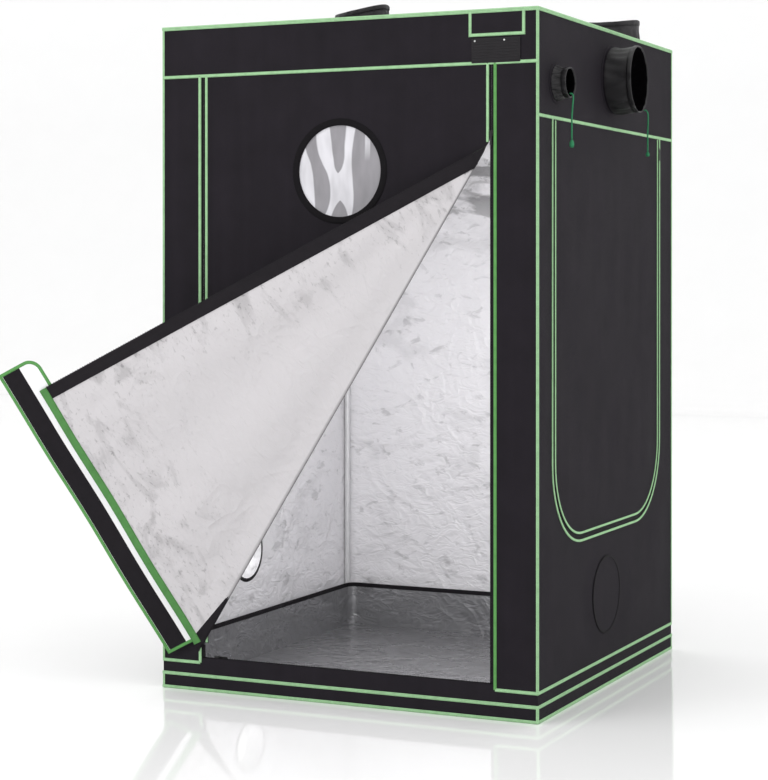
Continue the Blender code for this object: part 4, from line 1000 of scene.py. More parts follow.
def make_piping():
    """The pale bindings of the cover's edges and the piping lines on its faces."""
    crown = sizes().piping_crown
    rise = SEAM + crown
    arm = EDGE_BINDING
    top = [(SEAM, -arm), (rise * 0.7, -arm), (rise, -arm * 0.8), (rise, -rise)]
    top += [(rise * (0.1 + 0.9 * cos(a)), rise * (0.1 + 0.9 * sin(a))) for a in (0.4, 0.8, 1.2)]
    top += [(-arm * 0.8, rise), (-arm, rise * 0.7), (-arm, SEAM), (SEAM, SEAM)]
    heap = Heap().take(around([(out, HEIGHT + z) for out, z in top]))
    corner_bindings(heap, crown, HEM_LINE_Z, HEIGHT - arm + SEAM)
    gate = OPEN_HALF + SEAM + LINE / 2
    runs = [("front", FRONT_HEAD, -HALF_W, HALF_W), ("front", HEM_LINE_Z, -HALF_W, -gate),
            ("front", HEM_LINE_Z, gate, HALF_W)]
    for face, half in (("right", HALF_D), ("left", HALF_D), ("back", HALF_W)):
        runs += [(face, v, -half, half) for v in (SIDE_HEAD, HEM_LINE_Z)]
    for face, v, left, right in runs:
        heap.band([(left, v), (right, v)], LINE, SEAM, crown, face)
    for u in (-DOOR_HALF + LINE / 2, DOOR_HALF - LINE / 2):
        heap.band([(u, crease_z(u) + CREASE_CLEAR), (u, FRONT_HEAD)], LINE * 0.9, SEAM, crown)
    heap.band(u_run(SEAM + LINE / 2, SIDE_HEAD, tight=SEAM), LINE * 0.8, SEAM, crown, "right")
    for mark, u in enumerate((-gate, gate)):
        heap.band([(u, HEM_LINE_Z), (u, FRONT_HEAD)], LINE, SEAM, crown, mark=mark)
    left, right = LABEL_LEFT + LINE / 2, LABEL_LEFT + LABEL_WIDE - LINE / 2
    low, high = LABEL_LOW + LINE / 2, HEIGHT - arm / 2
    heap.band([(left, high), (left, low), (right, low), (right, high)], LINE, SEAM, crown * 1.1)
    heap.done("cover_edges", ["pale_piping", "green_piping"], "tent", ["cover_piping"], "pale_piping")

    foot = [(SEAM, SEAM), (rise * 0.8, SEAM), (rise, 0.003), (rise, arm - 0.002), (rise * 0.8, arm),
            (SEAM, arm)]
    line = [(SEAM, -0.5), (rise * 0.7, -0.5), (rise, -0.25), (rise, 0.25), (rise * 0.7, 0.5), (SEAM, 0.5)]
    heap = Heap().take(around(foot)).take(around([(out, LOW_LINE_Z + share * LINE) for out, share in line]))
    corner_bindings(heap, crown, arm / 2, LOW_LINE_Z)
    heap.done("foot_edges", ["pale_piping"], "tent", ["foot_piping"], "pale_piping")


# The front door
def roll_radius(u):
    """Radius of the soft roll along the crease, which opens away from the slider."""
    share = (DOOR_HALF - u) / (2 * DOOR_HALF)
    return ROLL_TIGHT + ROLL_GROWTH * ease(share)


def roll_reach(u):
    """How far from the crease the roll leaves the door, measured square to the crease."""
    return roll_radius(u) / tan((pi - FOLD_OPEN) / 2)


def make_door_upper():
    """The part of the front door above the crease, cut back to where the roll starts."""
    steps = 12
    places = [-DOOR_HALF + 2 * DOOR_HALF * i / steps for i in range(steps + 1)]
    foot = [(u, crease_z(u) + float(roll_reach(u)) * CREASE_RISE) for u in places]
    outline = foot + [(DOOR_HALF, FRONT_HEAD - SEAM), (-DOOR_HALF, FRONT_HEAD - SEAM)]
    cloth("door_shut_part", "front", [outline, circle(WINDOW, WINDOW_RADIUS)],
          ["black_cloth", "silver_lining"], "door_upper", pitch=DOOR_PITCH, seed=71, billow=0.9,
          crinkle=0.4)


def door_wave(u, v):
    """How far folds push the folded flap off its plane. They spread from the slider and fade to the foot."""
    u, v = np.minimum(u, DOOR_HALF), np.maximum(v, DOOR_FOOT)
    along, away = from_crease(u, v)
    left = CREASE_LONG - along
    spread = np.arctan2(np.maximum(away, 0), np.maximum(left, 1e-4)) / FOLDS_FAN
    swell = sizes().flap_folds * np.minimum(np.hypot(away, left) / 0.9, 1.0) * ease(away / 0.10)
    swell = swell * (0.40 + 0.60 * ease((v - DOOR_FOOT) / 0.22)) * (0.5 + 0.5 * ease((DOOR_HALF - u) / 0.12))
    return swell * (0.75 * np.sin(2 * pi * (2.1 * spread + 0.15)) + 0.35 * ripples(u, v, 91, 0.42))


def fold_place(corners):
    """Takes points of the shut flap (u, v, w) to the folded flap, with its soft roll and its folds."""
    corners = np.asarray(corners, float)
    u, v = corners[:, 0], corners[:, 1]
    w = corners[:, 2] + door_wave(u, v)
    along, away = from_crease(u, v)
    root = -DOOR_HALF + along / CREASE_RISE
    radius, reach = roll_radius(root), roll_reach(root)
    wedge = pi - FOLD_OPEN
    turn = -pi / 2 - FOLD_OPEN * np.clip(away / reach, 0, 1)
    flat = away >= reach
    across = np.where(flat, away * cos(wedge) + w * sin(wedge), reach + (radius - w) * np.cos(turn))
    out = np.where(flat, away * sin(wedge) - w * cos(wedge), radius + (radius - w) * np.sin(turn))
    u, v = crease_point(along, -across)
    return np.column_stack([u, -HALF_D - FOLD_LIFT - out, v])


def make_flap():
    """The folded part of the front door, its hem tapes and its bindings."""
    edge = [(-DOOR_HALF, DOOR_FOOT), (DOOR_HALF, DOOR_FOOT), (DOOR_HALF, CREASE_TOP - 0.0002),
            (-DOOR_HALF, CREASE_FOOT)]
    hem_u = DOOR_HALF - FLAP_HEM
    wedge = ((0.18, 0.0225), (0.036, 0.0480))
    short = 0.02
    roll = [(crease_point(short, away), crease_point(CREASE_LONG - short - away * CREASE_SLOPE, away))
            for away in (0.0012, 0.0026, 0.0042, 0.0060, 0.0080, 0.0102, 0.0126, 0.0152, 0.0182, 0.0220)]
    tape_lines = [((hem_u, DOOR_FOOT + 0.03), (hem_u, crease_z(hem_u) - 0.05)),
                  tuple(crease_point(*end) for end in wedge)]
    points, faces = cut_cloth([edge], FINE_PITCH, roll + tape_lines)
    u, v = points[:, 0], points[:, 1]
    still = ease((far_from(points, segment_ends([edge])) - FLAP_HEM) / 0.06)
    crumples = 0.0036 * still * (crumple(u, v, 5, 0.30) - 0.5)
    crumples += 0.0075 * still * ease((0.60 - v) / 0.40) * (crumple(u, v, 15, 0.17) - 0.5)
    for gap, deep, waves in ((hem_u - u, 0.0016, ripples(u * 0.30, v, 44, 0.055)),
                             (v - DOOR_FOOT - 0.045, 0.0022, ripples(u, v * 0.30, 45, 0.060))):
        crumples += deep * ease((gap - 0.006) / 0.02) * (1 - ease((gap - 0.03) / 0.14)) * waves * still
    outer, inner = (fold_place(np.column_stack([u, v, crumples - deep])) for deep in (0, CLOTH))
    middle = points[faces].mean(1)
    run, off = from_crease(middle[:, 0], middle[:, 1])
    (far, thin), (near, thick) = wedge
    wide = thin + (far - run) / (far - near) * (thick - thin)
    taped = (middle[:, 0] > hem_u) | ((run < far) & (off < wide))
    made = lay_sheet("door_folded_part", points, faces, outer, inner,
                     ["black_cloth", "flap_lining", "hem_tape"], inner_marks=1 + taped)
    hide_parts("door_flap")
    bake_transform(made)

    crown, tape_deep = 0.0017, 0.0014
    top = CREASE_TOP - CREASE_CLEAR
    mid = DOOR_HALF - LINE / 2
    left = -DOOR_HALF + 0.030
    low = DOOR_FOOT + LINE / 2
    inner_low = DOOR_FOOT + FOOT_BINDING / 2 + 0.0005
    heap = Heap().band([(mid, DOOR_FOOT), (mid, top)], LINE, SEAM, crown, place=fold_place, mark=2)
    heap.band([(left, low), (DOOR_HALF, low)], LINE, SEAM, crown, place=fold_place)
    # The foot binding's band on the lining side takes the darker copy of the green: painted shade.
    heap.band([(left, inner_low), (DOOR_HALF, inner_low)], FOOT_BINDING + 0.005, INNER_FACE, -crown,
              place=fold_place, mark=1, profile=WIDE_CROWN)
    binding = heap.done("flap_edge_binding", ["green_piping", "foot_binding", "pale_piping"],
                        "folding_door", ["flap_binding"], "green_piping")
    foot = DOOR_FOOT + FOOT_BINDING + 0.0035
    mid = DOOR_HALF - FLAP_HEM / 2 + 0.0005
    edge_u = DOOR_HALF + 0.0005
    heap = Heap().band([(mid, foot), (mid, top - 0.040)], FLAP_HEM + 0.001, INNER_FACE, -tape_deep,
                       place=fold_place, profile=WIDE_CROWN, step=0.015)
    heap.teeth([(edge_u, foot), (edge_u, top)], -CLOTH - 0.0002, place=fold_place, wide=0.003, high=tape_deep)
    hem = heap.done("flap_hem_tape", ["hem_tape", "zip_teeth"], "folding_door",
                    ["flap_zip_tape"], "black_tape")


def storm_outline():
    """The middle line of the storm strip's binding: square below and rounded above."""
    inset = STORM_BINDING / 2
    corner = STORM_CORNER - inset
    left, right = -STORM_LEFT + inset, STORM_RIGHT - inset
    high, low = STORM_HIGH - inset, STORM_LOW + inset
    return [(left, low), (right, low), *quarter((right - corner, high - corner), corner, 0, 10),
            *quarter((left + corner, high - corner), corner, pi / 2, 10)]


def strip_place(corners):
    """Folds the storm strip with the flap, and lets its long free edge wave clear of the sill."""
    corners = np.array(corners, float)
    u, v = corners[:, 0], corners[:, 1]
    wave = door_wave(u, v)
    free = ease((DOOR_FOOT + 0.020 - v) / 0.045)
    clear = 0.0016 + 0.4 * np.maximum(wave + 0.0045, 0) + 0.0020 * (1 + ripples(u, v * 0.3, 77, 0.55))
    corners[:, 2] += wave + free * (clear - wave)
    at = Vector((-DOOR_HALF, -HALF_D - FOLD_LIFT, CREASE_FOOT))
    crease = Vector((1, 0, CREASE_SLOPE)).normalized()
    fold = Matrix.Translation(at) @ Matrix.Rotation(-FOLD_OPEN, 4, crease) @ Matrix.Translation(-at)
    return moved(moved(corners, on_face("front")), fold)


def make_strip():
    """The storm strip: white lining, green binding all round and a black band of hook tape."""
    ring = storm_outline()
    points, faces = cut_cloth([ring], FINE_PITCH)
    outer, inner = (strip_place(np.column_stack([points, np.full(len(points), w)]))
                    for w in (STORM_FOOT + CLOTH, STORM_FOOT))
    made = lay_sheet("storm_strip_cloth", points, faces, outer, inner, ["black_cloth", "strip_lining"])
    attach(made, "storm_strip", ["storm_flap"])
    heap = Heap()
    for high in (STORM_BINDING_HIGH, -STORM_BINDING_HIGH):
        heap.band(ring, STORM_BINDING, STORM_FOOT + CLOTH / 2, high, place=strip_place, closed=True)
    binding = heap.done("storm_strip_edge", ["green_piping"], "storm_strip", ["storm_flap_binding"],
                        "green_piping")
    mid = HOOK_LOW + HOOK_WIDE / 2
    run = [(-STORM_LEFT + STORM_BINDING, mid), (STORM_RIGHT - STORM_BINDING, mid)]
    heap = Heap().band(run, HOOK_WIDE, STORM_FOOT - SEAM / 3, -0.0011, place=strip_place, profile=WIDE_CROWN)
    band = heap.done("storm_strip_hook_tape", ["hook_tape"], "storm_strip", [], "black_tape")


def make_window():
    """The round window: its ring outside and its film inside."""
    ring = circle(WINDOW, WINDOW_RADIUS + WINDOW_RING / 2, 72)
    heap = Heap().band(ring, WINDOW_RING, SEAM, 0.0019, closed=True, step=0.05)
    heap.done("window_binding", ["ring_tape"], "tent", ["window_ring"], "black_tape")
    edge = circle(WINDOW, PANE_RADIUS, 72)
    points, faces = cut_cloth([edge], FINE_PITCH)
    u, v = points[:, 0], points[:, 1]
    still = ease(far_from(points, segment_ends([edge])) / 0.05)
    wave = 0.0022 * still * ripples(u, v * 0.4, 8, 0.12)
    outer, inner = (np.column_stack([u, v, INNER_FACE - deep + wave]) for deep in (0, 0.0008))
    made = lay_sheet("window_pane", points, faces, outer, inner, ["clear_film"] * 2, on_face("front"))
    attach(made, "tent", ["window_film"])


# The side door and the zips
def make_side_door():
    """The side door's cloth, its piping and its half of the zip tape."""
    run = u_run(-ZIP_GAP - LINE / 2, SIDE_TAPE_TOP)
    heap = Heap().band(run, LINE * 0.75, SEAM, sizes().piping_crown, "right")
    piping = heap.done("side_door_edge", ["pale_piping"], "wall_door", ["side_door_piping"], "pale_piping")
    heap = Heap().band(u_run(-ZIP_GAP - 0.002, SIDE_TAPE_TOP), 0.016, INNER_FACE, -ZIP_TAPE_DEEP, "right",
                       profile=FLAT_CROWN)
    tape = heap.done("side_door_tape", ["black_tape"], "wall_door", ["side_door_zip_tape"], "black_tape")
    cloth("side_door_cloth", "right", [u_run(-ZIP_GAP, SIDE_DOOR_TOP)], ["black_cloth", "white_lining"],
          "side_door", "wall_door", seed=83, crinkle=0.8, held="hung", with_pieces=[piping, tape])


def make_zips():
    """Zip tapes behind the cloth's edges, with their coil teeth."""
    looks = ["black_tape", "zip_teeth"]
    half_tape = ZIP_TAPE / 2

    def tape(heap, run, wide=ZIP_TAPE, face="front"):
        heap.band(run, wide, INNER_FACE, -ZIP_TAPE_DEEP, face, profile=FLAT_CROWN)

    heap = Heap()
    for side in (-1, 1):
        start_v = crease_z(side * DOOR_HALF) + CREASE_CLEAR
        for u, low, high, wide in ((TEETH + SEAM + half_tape, start_v, FRONT_HEAD, ZIP_TAPE),
                                   (DOOR_HALF + 0.0030 + half_tape, SILL, start_v, ZIP_TAPE + 0.003),
                                   (TEETH - SEAM - half_tape, start_v + 0.005, FRONT_HEAD, ZIP_TAPE)):
            tape(heap, [(side * u, low), (side * u, high)], wide)
        u = side * TEETH
        heap.teeth([(u, start_v), (u, FRONT_HEAD - 0.004)], TOOTH_FOOT)
        if side > 0:
            heap.teeth([(u - 0.0022, SILL), (u - 0.0022, start_v)], TOOTH_FOOT, wide=0.0032)
    tape_v, teeth_v = SILL - 0.0048, SILL + 0.002
    tape(heap, [(-OPEN_HALF, tape_v), (OPEN_HALF, tape_v)])
    heap.teeth([(-DOOR_HALF + 0.06, teeth_v), (DOOR_HALF, teeth_v)], INNER_FACE - 0.0004, wide=0.003)
    heap.done("front_zip", looks, "tent", ["front_zip_tape"], "black_tape")
    heap = Heap()
    tape(heap, u_run(0.008 - ZIP_GAP / 2, SIDE_TAPE_TOP), face="right")
    heap.teeth(u_run(-ZIP_GAP / 2, SIDE_TAPE_TOP), TOOTH_FOOT, "right")
    heap.done("side_zip", looks, "tent", ["side_zip_tape"], "black_tape")


# Ports, vent and label
def sleeve_section(radius, mouth, length, through, flare):
    """Closed section of a port sleeve: flange, soft wall that flares to the flange, and drawcord hem. With it
    go the places where its flange and its inside start."""
    hem = length - SLEEVE_HEM
    rows = 12
    run = [(radius + (mouth - radius) * k / rows + flare * (1 - k / rows) ** 1.5,
            PROUD + (hem - PROUD) * k / rows) for k in range(1, rows + 1)]
    tip = [(mouth + out, length - down) for out, down in (
        (0.0032, SLEEVE_HEM - 0.0004), (0.0045, SLEEVE_HEM - 0.004), (0.0045, 0.004), (0.0036, 0.001),
        (0.0022, 0.0), (0.0008, 0.001), (0.0, 0.004))]
    rim = radius + FLANGE
    begin = [(radius, SEAM)]
    if through:
        begin = [(radius, INNER_FACE - TAPE), (rim - CLOTH, INNER_FACE - TAPE), (rim, INNER_FACE - TAPE / 2),
                 (rim, INNER_FACE), (radius + CLOTH, INNER_FACE), (radius + CLOTH, SEAM)]
    flange = [(rim, SEAM), (rim, PROUD * 0.7), (rim - 0.001, PROUD), (radius + CLOTH + 0.001, PROUD)]
    section = begin + flange + [(r + CLOTH, h) for r, h in run] + tip + run[::-1] + [(radius, PROUD)]
    return section, len(begin), len(section) - len(run) - 2


def make_sleeve(name, face, place, radius, mouth, length, node, seed, through=False, flare=0.0, sag=0.0,
                tilt=0.0, dip=0.0):
    """A soft sleeve with pleats, a drawcord hem and its stitches. It sags before the hem, and its mouth may
    tilt to the side or dip at the front."""
    hem = length - SLEEVE_HEM
    draw = np.random.default_rng(seed)
    terms = [(draw.integers(4, 9) if i < 3 else draw.integers(9, 24), draw.uniform(0, 2 * pi),
              draw.uniform(0.6, 1.0)) for i in range(8)]
    deep = sizes().pleat

    def wobble(r, h, angle):
        if h <= PROUD or h > length - 0.003:
            return r
        share = min(1.0, (h - PROUD) / (hem - PROUD))
        swell = sin(pi * share * 0.90) ** 0.7
        bend = sum(size * sin(count * angle + phase + 2.6 * share * (1 if i % 2 else -1))
                   for i, (count, phase, size) in enumerate(terms)) / 3
        return r + deep * swell * (bend - 0.35)

    def leaning(x, y):
        return tilt * x / mouth - dip * np.clip(-y / mouth, 0, 1) ** 1.5

    section, sewn_at, lined_from = sleeve_section(radius, mouth, length, through, flare)
    corners, faces, metres = turned(section, 120, wobble)
    share = np.clip((corners[:, 2] - PROUD) / (hem - PROUD), 0, 1)
    corners[:, 2] += leaning(corners[:, 0], corners[:, 1]) * ease(share)
    corners[:, 1] -= sag * np.sin(pi * share)
    corners[:, :2] += place
    heap = Heap().take((corners, faces, metres), on_face(face))
    finishes = [int(k >= lined_from) for k in range(len(section))]
    finishes[sewn_at - 1:sewn_at + 4] = [2] * 5
    heap.marks = finishes * (len(faces) // len(section))
    ring = np.array([(x, y, hem - 0.001 + leaning(x, y)) for x, y in circle((0, 0), mouth + 0.0026, 90)])
    heap.take(stitch_ring(ring, place), on_face(face))
    # Sleeves that end in the wall get a much darker copy of the cloth inside: painted shade.
    inside_look = "white_lining" if through else "sleeve_inside"
    return heap.done(name, ["sleeve_cloth", inside_look, "black_cloth"], "tent", [node], "black_cloth")


def stitch_ring(points, place):
    """A row of small raised stitches round a ring of (u, v, w) points."""
    corners, faces = [], []
    up = np.array([0, 0, 0.0005])
    for i, a in enumerate(points):
        run = (points[(i + 1) % len(points)] - a) * 0.68
        out = np.array([a[0], a[1], 0]) / max(hypot(a[0], a[1]), 1e-6) * 0.0004
        faces += [tuple(len(corners) + k for k in face) for face in skin(2, 4)]
        corners += [end + side + np.array([*place, 0]) for end in (a, a + run)
                    for side in (out - up, out + up, -out + up, -out - up)]
    return corners, faces, [(0.0, 0.0)] * len(corners)


def make_ports():
    make_sleeve("duct_port_sleeve", "right", DUCT_PORT, DUCT_RADIUS, DUCT_RADIUS, 0.087, "duct_sleeve", 3,
                flare=0.003, sag=0.004, tilt=-0.005)
    make_sleeve("cable_port_sleeve", "right", CABLE_PORT, CABLE_RADIUS, 0.040, 0.045, "cable_sleeve", 4,
                flare=0.003, sag=0.0015)
    make_sleeve("roof_port_sleeve_a", "roof", ROOF_PORT_A, ROOF_PORT_RADIUS, 0.084, 0.108,
                "roof_sleeve_left", 5, tilt=0.014, dip=0.012)
    make_sleeve("roof_port_sleeve_b", "roof", ROOF_PORT_B, ROOF_PORT_RADIUS, 0.080, 0.085,
                "roof_sleeve_right", 6, dip=0.011)
    make_sleeve("low_wall_sleeve", "left", LOW_PORT, LOW_PORT_RADIUS, LOW_PORT_RADIUS, 0.060,
                "low_port_sleeve", 7, through=True)


def cover_line(inset):
    """The outline of the vent's cover, a little flat at the top, where it is sewn on."""
    radius, top, count = 0.124, 0.114, 60
    points = []
    for angle in [2 * pi * k / count for k in range(count)]:
        reach = radius - (radius - top) * max(0.0, sin(angle)) ** 2 - inset
        points.append((VENT[0] + reach * cos(angle), VENT[1] + reach * sin(angle)))
    return points


def make_vent():
    """The low vent: a net whose threads cross, and the round cover that hangs over it."""
    reach = VENT_RADIUS + 0.008
    gap = 0.0085
    heap = Heap().band(circle(VENT, reach - 0.004, 60), 0.008, INNER_FACE, -0.001, "right", closed=True,
                       profile=FLAT_CROWN, step=0.05)
    count = int((reach - 0.006) // gap)
    for i in range(-count, count + 1):
        half = sqrt((reach - 0.005) ** 2 - (i * gap) ** 2)
        for flip, sink in ((False, 0.0005), (True, 0.0002)):
            ends = [(i * gap, end)[::-1 if flip else 1] for end in (-half, half)]
            ends = [(VENT[0] + u, VENT[1] + v) for u, v in ends]
            heap.band(ends, 0.0012, INNER_FACE - sink, -0.0006, "right", profile=FLAT_CROWN, step=1.0)
    heap.done("vent_mesh", ["net"], "tent", ["vent_net"], "net")
    heap = Heap().band(cover_line(0.0042), 0.008, PROUD - 0.0004, 0.0016, "right", closed=True, step=0.05)
    rim = heap.done("vent_cover_edge", ["ring_tape"], "vent_lid", [], "black_tape")
    cloth("vent_cover_cloth", "right", [cover_line(0.0)], ["black_cloth"] * 2, "vent_cover", "vent_lid",
          pitch=FINE_PITCH, seed=97, billow=0.25, crinkle=0.0, thick=TAPE, foot=SEAM, held="hung",
          with_pieces=[rim])


def make_label():
    """The bare pocket in the header, and the small ribbed flap under it."""
    inset = LINE - 0.001
    left, right = LABEL_LEFT + inset, LABEL_LEFT + LABEL_WIDE - inset
    low, high = LABEL_LOW + inset, HEIGHT - EDGE_BINDING - SEAM
    cloth("header_pocket", "front", [[(left, low), (right, low), (right, high), (left, high)]],
          ["black_cloth"] * 2, "label_pocket", slot="black_tape", pitch=0.008, seed=101, billow=0.15,
          crinkle=0.0, thick=TAPE, foot=SEAM)
    wide, tall, ribs = 0.148, 0.070, 9
    left = LABEL_LEFT + 0.010
    right = left + wide
    top = LABEL_LOW - 0.005
    foot = PROUD + SEAM
    middle = top - tall / 2
    heap = Heap().band([(left, middle), (right, middle)], tall, foot, TAPE, profile=FLAT_CROWN)
    heap.band([(left, top - 0.003), (right, top - 0.003)], 0.006, SEAM, foot)
    for k in range(1, ribs):
        v = top - tall + tall * k / ribs
        heap.band([(left + 0.004, v), (right - 0.004, v)], 0.0035, foot + TAPE * 0.8, 0.0011)
    snap = turned([(0.0001, 0.0), (0.0030, 0.0), (0.0028, 0.0010), (0.0018, 0.0018), (0.0001, 0.0020)], 20)
    for u in (left + 0.010, right - 0.048):
        heap.take(snap, on_face("front") @ Matrix.Translation((u, top - 0.0075, foot + TAPE * 0.9)), mark=1)
    heap.done("header_flap", ["flap_tape", "snap_metal"], "label_lid", ["label_flap"], "black_tape")


# Cords
def smooth_route(points, spacing):
    """Points at even spacing along a smooth curve through the given ones."""
    points = [Vector(point) for point in points]
    padded = [2 * points[0] - points[1], *points, 2 * points[-1] - points[-2]]
    fine = []
    steps = 24
    for i in range(1, len(padded) - 2):
        p0, p1, p2, p3 = padded[i - 1:i + 3]
        for t in [step / steps for step in range(steps)]:
            fine.append(0.5 * (2 * p1 + (p2 - p0) * t + (2 * p0 - 5 * p1 + 4 * p2 - p3) * t ** 2
                               + (3 * p1 - p0 - 3 * p2 + p3) * t ** 3))
    fine.append(points[-1])
    length = sum((b - a).length for a, b in zip(fine, fine[1:]))
    count = max(2, round(length / spacing))
    even, walked, target = [fine[0]], 0.0, length / count
    for a, b in zip(fine, fine[1:]):
        step = (b - a).length
        while walked + step >= target * len(even) - SEAM / 10 and len(even) < count:
            even.append(a.lerp(b, (target * len(even) - walked) / step))
        walked += step
    return even + [fine[-1]], length


def rope(points, radius, strands=3, lay_length=0.011, n=14):
    """A twisted cord along points, with rounded ends."""
    corners, metres = [], []
    side = Vector((0, 1, 0))
    walked = 0.0
    for i, point in enumerate(points):
        ahead = (points[min(i + 1, len(points) - 1)] - points[max(i - 1, 0)]).normalized()
        side = (side - ahead * side.dot(ahead)).normalized()
        other = ahead.cross(side)
        if i:
            walked += (point - points[i - 1]).length
        shrink = (0.55, 0.85, 1.0)[min(i, len(points) - 1 - i, 2)]
        for angle in [2 * pi * k / n for k in range(n)]:
            twist = strands * angle - 2 * pi * walked / lay_length
            reach = radius * shrink * (0.90 + 0.10 * cos(twist))
            corners.append(tuple(point + side * (cos(angle) * reach) + other * (sin(angle) * reach)))
            metres.append((walked, radius * angle))
    return corners, skin(len(points), n), metres


def make_cord(name, route, node, end_node, end_name, end_radius, end_long):
    """A drawcord along its route, and the grooved knot or lock at its end."""
    points, length = smooth_route([(HALF_W + out, y, HEIGHT - down) for out, y, down in route], 0.0022)
    heap = Heap().take(rope(points, CORD_RADIUS))
    made = heap.done(name, ["cord_green"], "tent", [node], "cord_green")
    below = points[-1] - Vector((0, 0, end_long / 2 + SEAM))
    shares = ((0.50, -1), (0.80, -0.86), (0.97, -0.55), (1, -0.1), (0.93, 0.3), (0.72, 0.62), (0.55, 0.85),
              (0.42, 1))
    profile = [(0.0001, -end_long / 2), *[(end_radius * wide, end_long / 2 * up) for wide, up in shares],
               (0.0001, end_long / 2)]

    def grooves(r, h, angle):
        return r * (1 + 0.06 * cos(3 * angle + h * 700)) if r > 0.001 else r

    knot = Heap().take(turned(profile, 28, grooves), Matrix.Translation(below))
    end = knot.done(end_name, ["cord_green"], "tent", [end_node], "cord_green")


def make_cords():
    make_cord("duct_cord", DUCT_CORD, "duct_drawcord", "duct_cord_knot", "duct_knot", 0.006, 0.014)
    make_cord("cable_cord", CABLE_CORD, "cable_drawcord", "cable_cord_lock", "cable_lock", 0.007, 0.022)


# Frame, tray and stage
def dress_frame():
    """Better finishes on the CAD pieces that stay: tubes, fittings, bars and sliders."""
    for name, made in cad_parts.items():
        if "rail" in name or name.startswith(("upright", "hanging_bar")):
            finish = LOOK["frame_paint"]
        elif "corner" in name:
            finish = LOOK["fitting_plastic"]
        elif name.endswith("slider"):
            finish = LOOK["slider_metal"]
        else:
            continue
        if not made.material_slots:
            made.data.materials.append(finish)
        for place in made.material_slots:
            place.material = finish


def make_tray():
    """The lift-out tray: soft walls that wave, and a black bound rim."""
    low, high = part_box("floor_tray")
    rim, wall, corner, rows = 0.0012, 0.0025, 0.030, 7
    half_x, half_y = high.x - rim, high.y - rim
    foot, top = low.z, high.z
    path = []
    for number, (sx, sy) in enumerate(((1, 1), (-1, 1), (-1, -1), (1, -1))):
        path += quarter((sx * (half_x - corner), sy * (half_y - corner)), corner, number * pi / 2, 10)
    full = np.array([p for a, b in sides(path) for p in divided(a, b, 0.03)])
    n = len(full)
    walked = np.concatenate([[0], np.cumsum(np.linalg.norm(np.diff(full, axis=0), axis=1))])
    inward = full / np.linalg.norm(full, axis=1)[:, None]
    rim_z = top - (top - SILL + 0.014) * (1 - ease((full[:, 1] + half_y - 0.02) / 0.16))
    levels = [(0, k / rows) for k in range(rows + 1)]
    levels += [(1, k / rows) for k in range(rows, -1, -1)]
    corners, metres = [], []
    for side, share in levels:
        base = foot + wall * side
        z = base + share * (rim_z - 0.003 - base)
        sway = 0.0016 * sin(pi * share) * ripples(full[:, 0] + full[:, 1], full[:, 0] * 0.2, 19, 0.35)
        ring = full - inward * (wall * side + 0.0018 * sin(pi * share) + sway)[:, None]
        corners += [(x, y, height) for (x, y), height in zip(ring, z)]
        metres += list(zip(walked, z))
    heap = Heap().take((corners, skin(len(levels), n, ends=1), metres))
    inner_rim = [tuple(p) for p in ring]
    points, tris = cut_cloth([inner_rim], 0.035)
    u, v = points[:, 0], points[:, 1]
    still = ease(far_from(points, segment_ends([inner_rim])) / 0.05)
    sheet = np.column_stack([u, v, foot + wall + 0.0016 * still * (crumple(u, v, 29, 0.25) - 0.2)])
    heap.take((sheet, tris, points))
    heap.done("tray_shell", ["tray_lining"], "tray", ["floor_tray"], "silver_lining", weld=0.00005)
    profile = [(rim, -0.014), (rim, -0.002), (0.0004, 0.0), (-0.0030, 0.0), (-0.0038, -0.002),
               (-0.0038, -0.014), (-0.0026, -0.014), (-0.0026, -0.002), (0.0001, -0.002), (0.0001, -0.014)]
    corners = [(x + dx * out, y + dy * out, z + up) for (x, y), (dx, dy), z in zip(full, inward, rim_z)
               for out, up in profile]
    metres = [(along, up + 0.007) for along in walked for _, up in profile]
    heap = Heap().take((corners, skin(n, len(profile), closed=True), metres))
    heap.done("tray_rim", ["black_tape"], "tray", [], "black_tape")


def area_light(name, place, aim, size, power):
    light = bpy.data.lights.new(name, "AREA")
    light.shape = "RECTANGLE"
    light.size, light.size_y = size
    light.energy = power
    made = linked(name, light)
    made.location = place
    made.rotation_euler = (Vector(aim) - Vector(place)).to_track_quat("-Z", "Y").to_euler()
    made.visible_camera = False


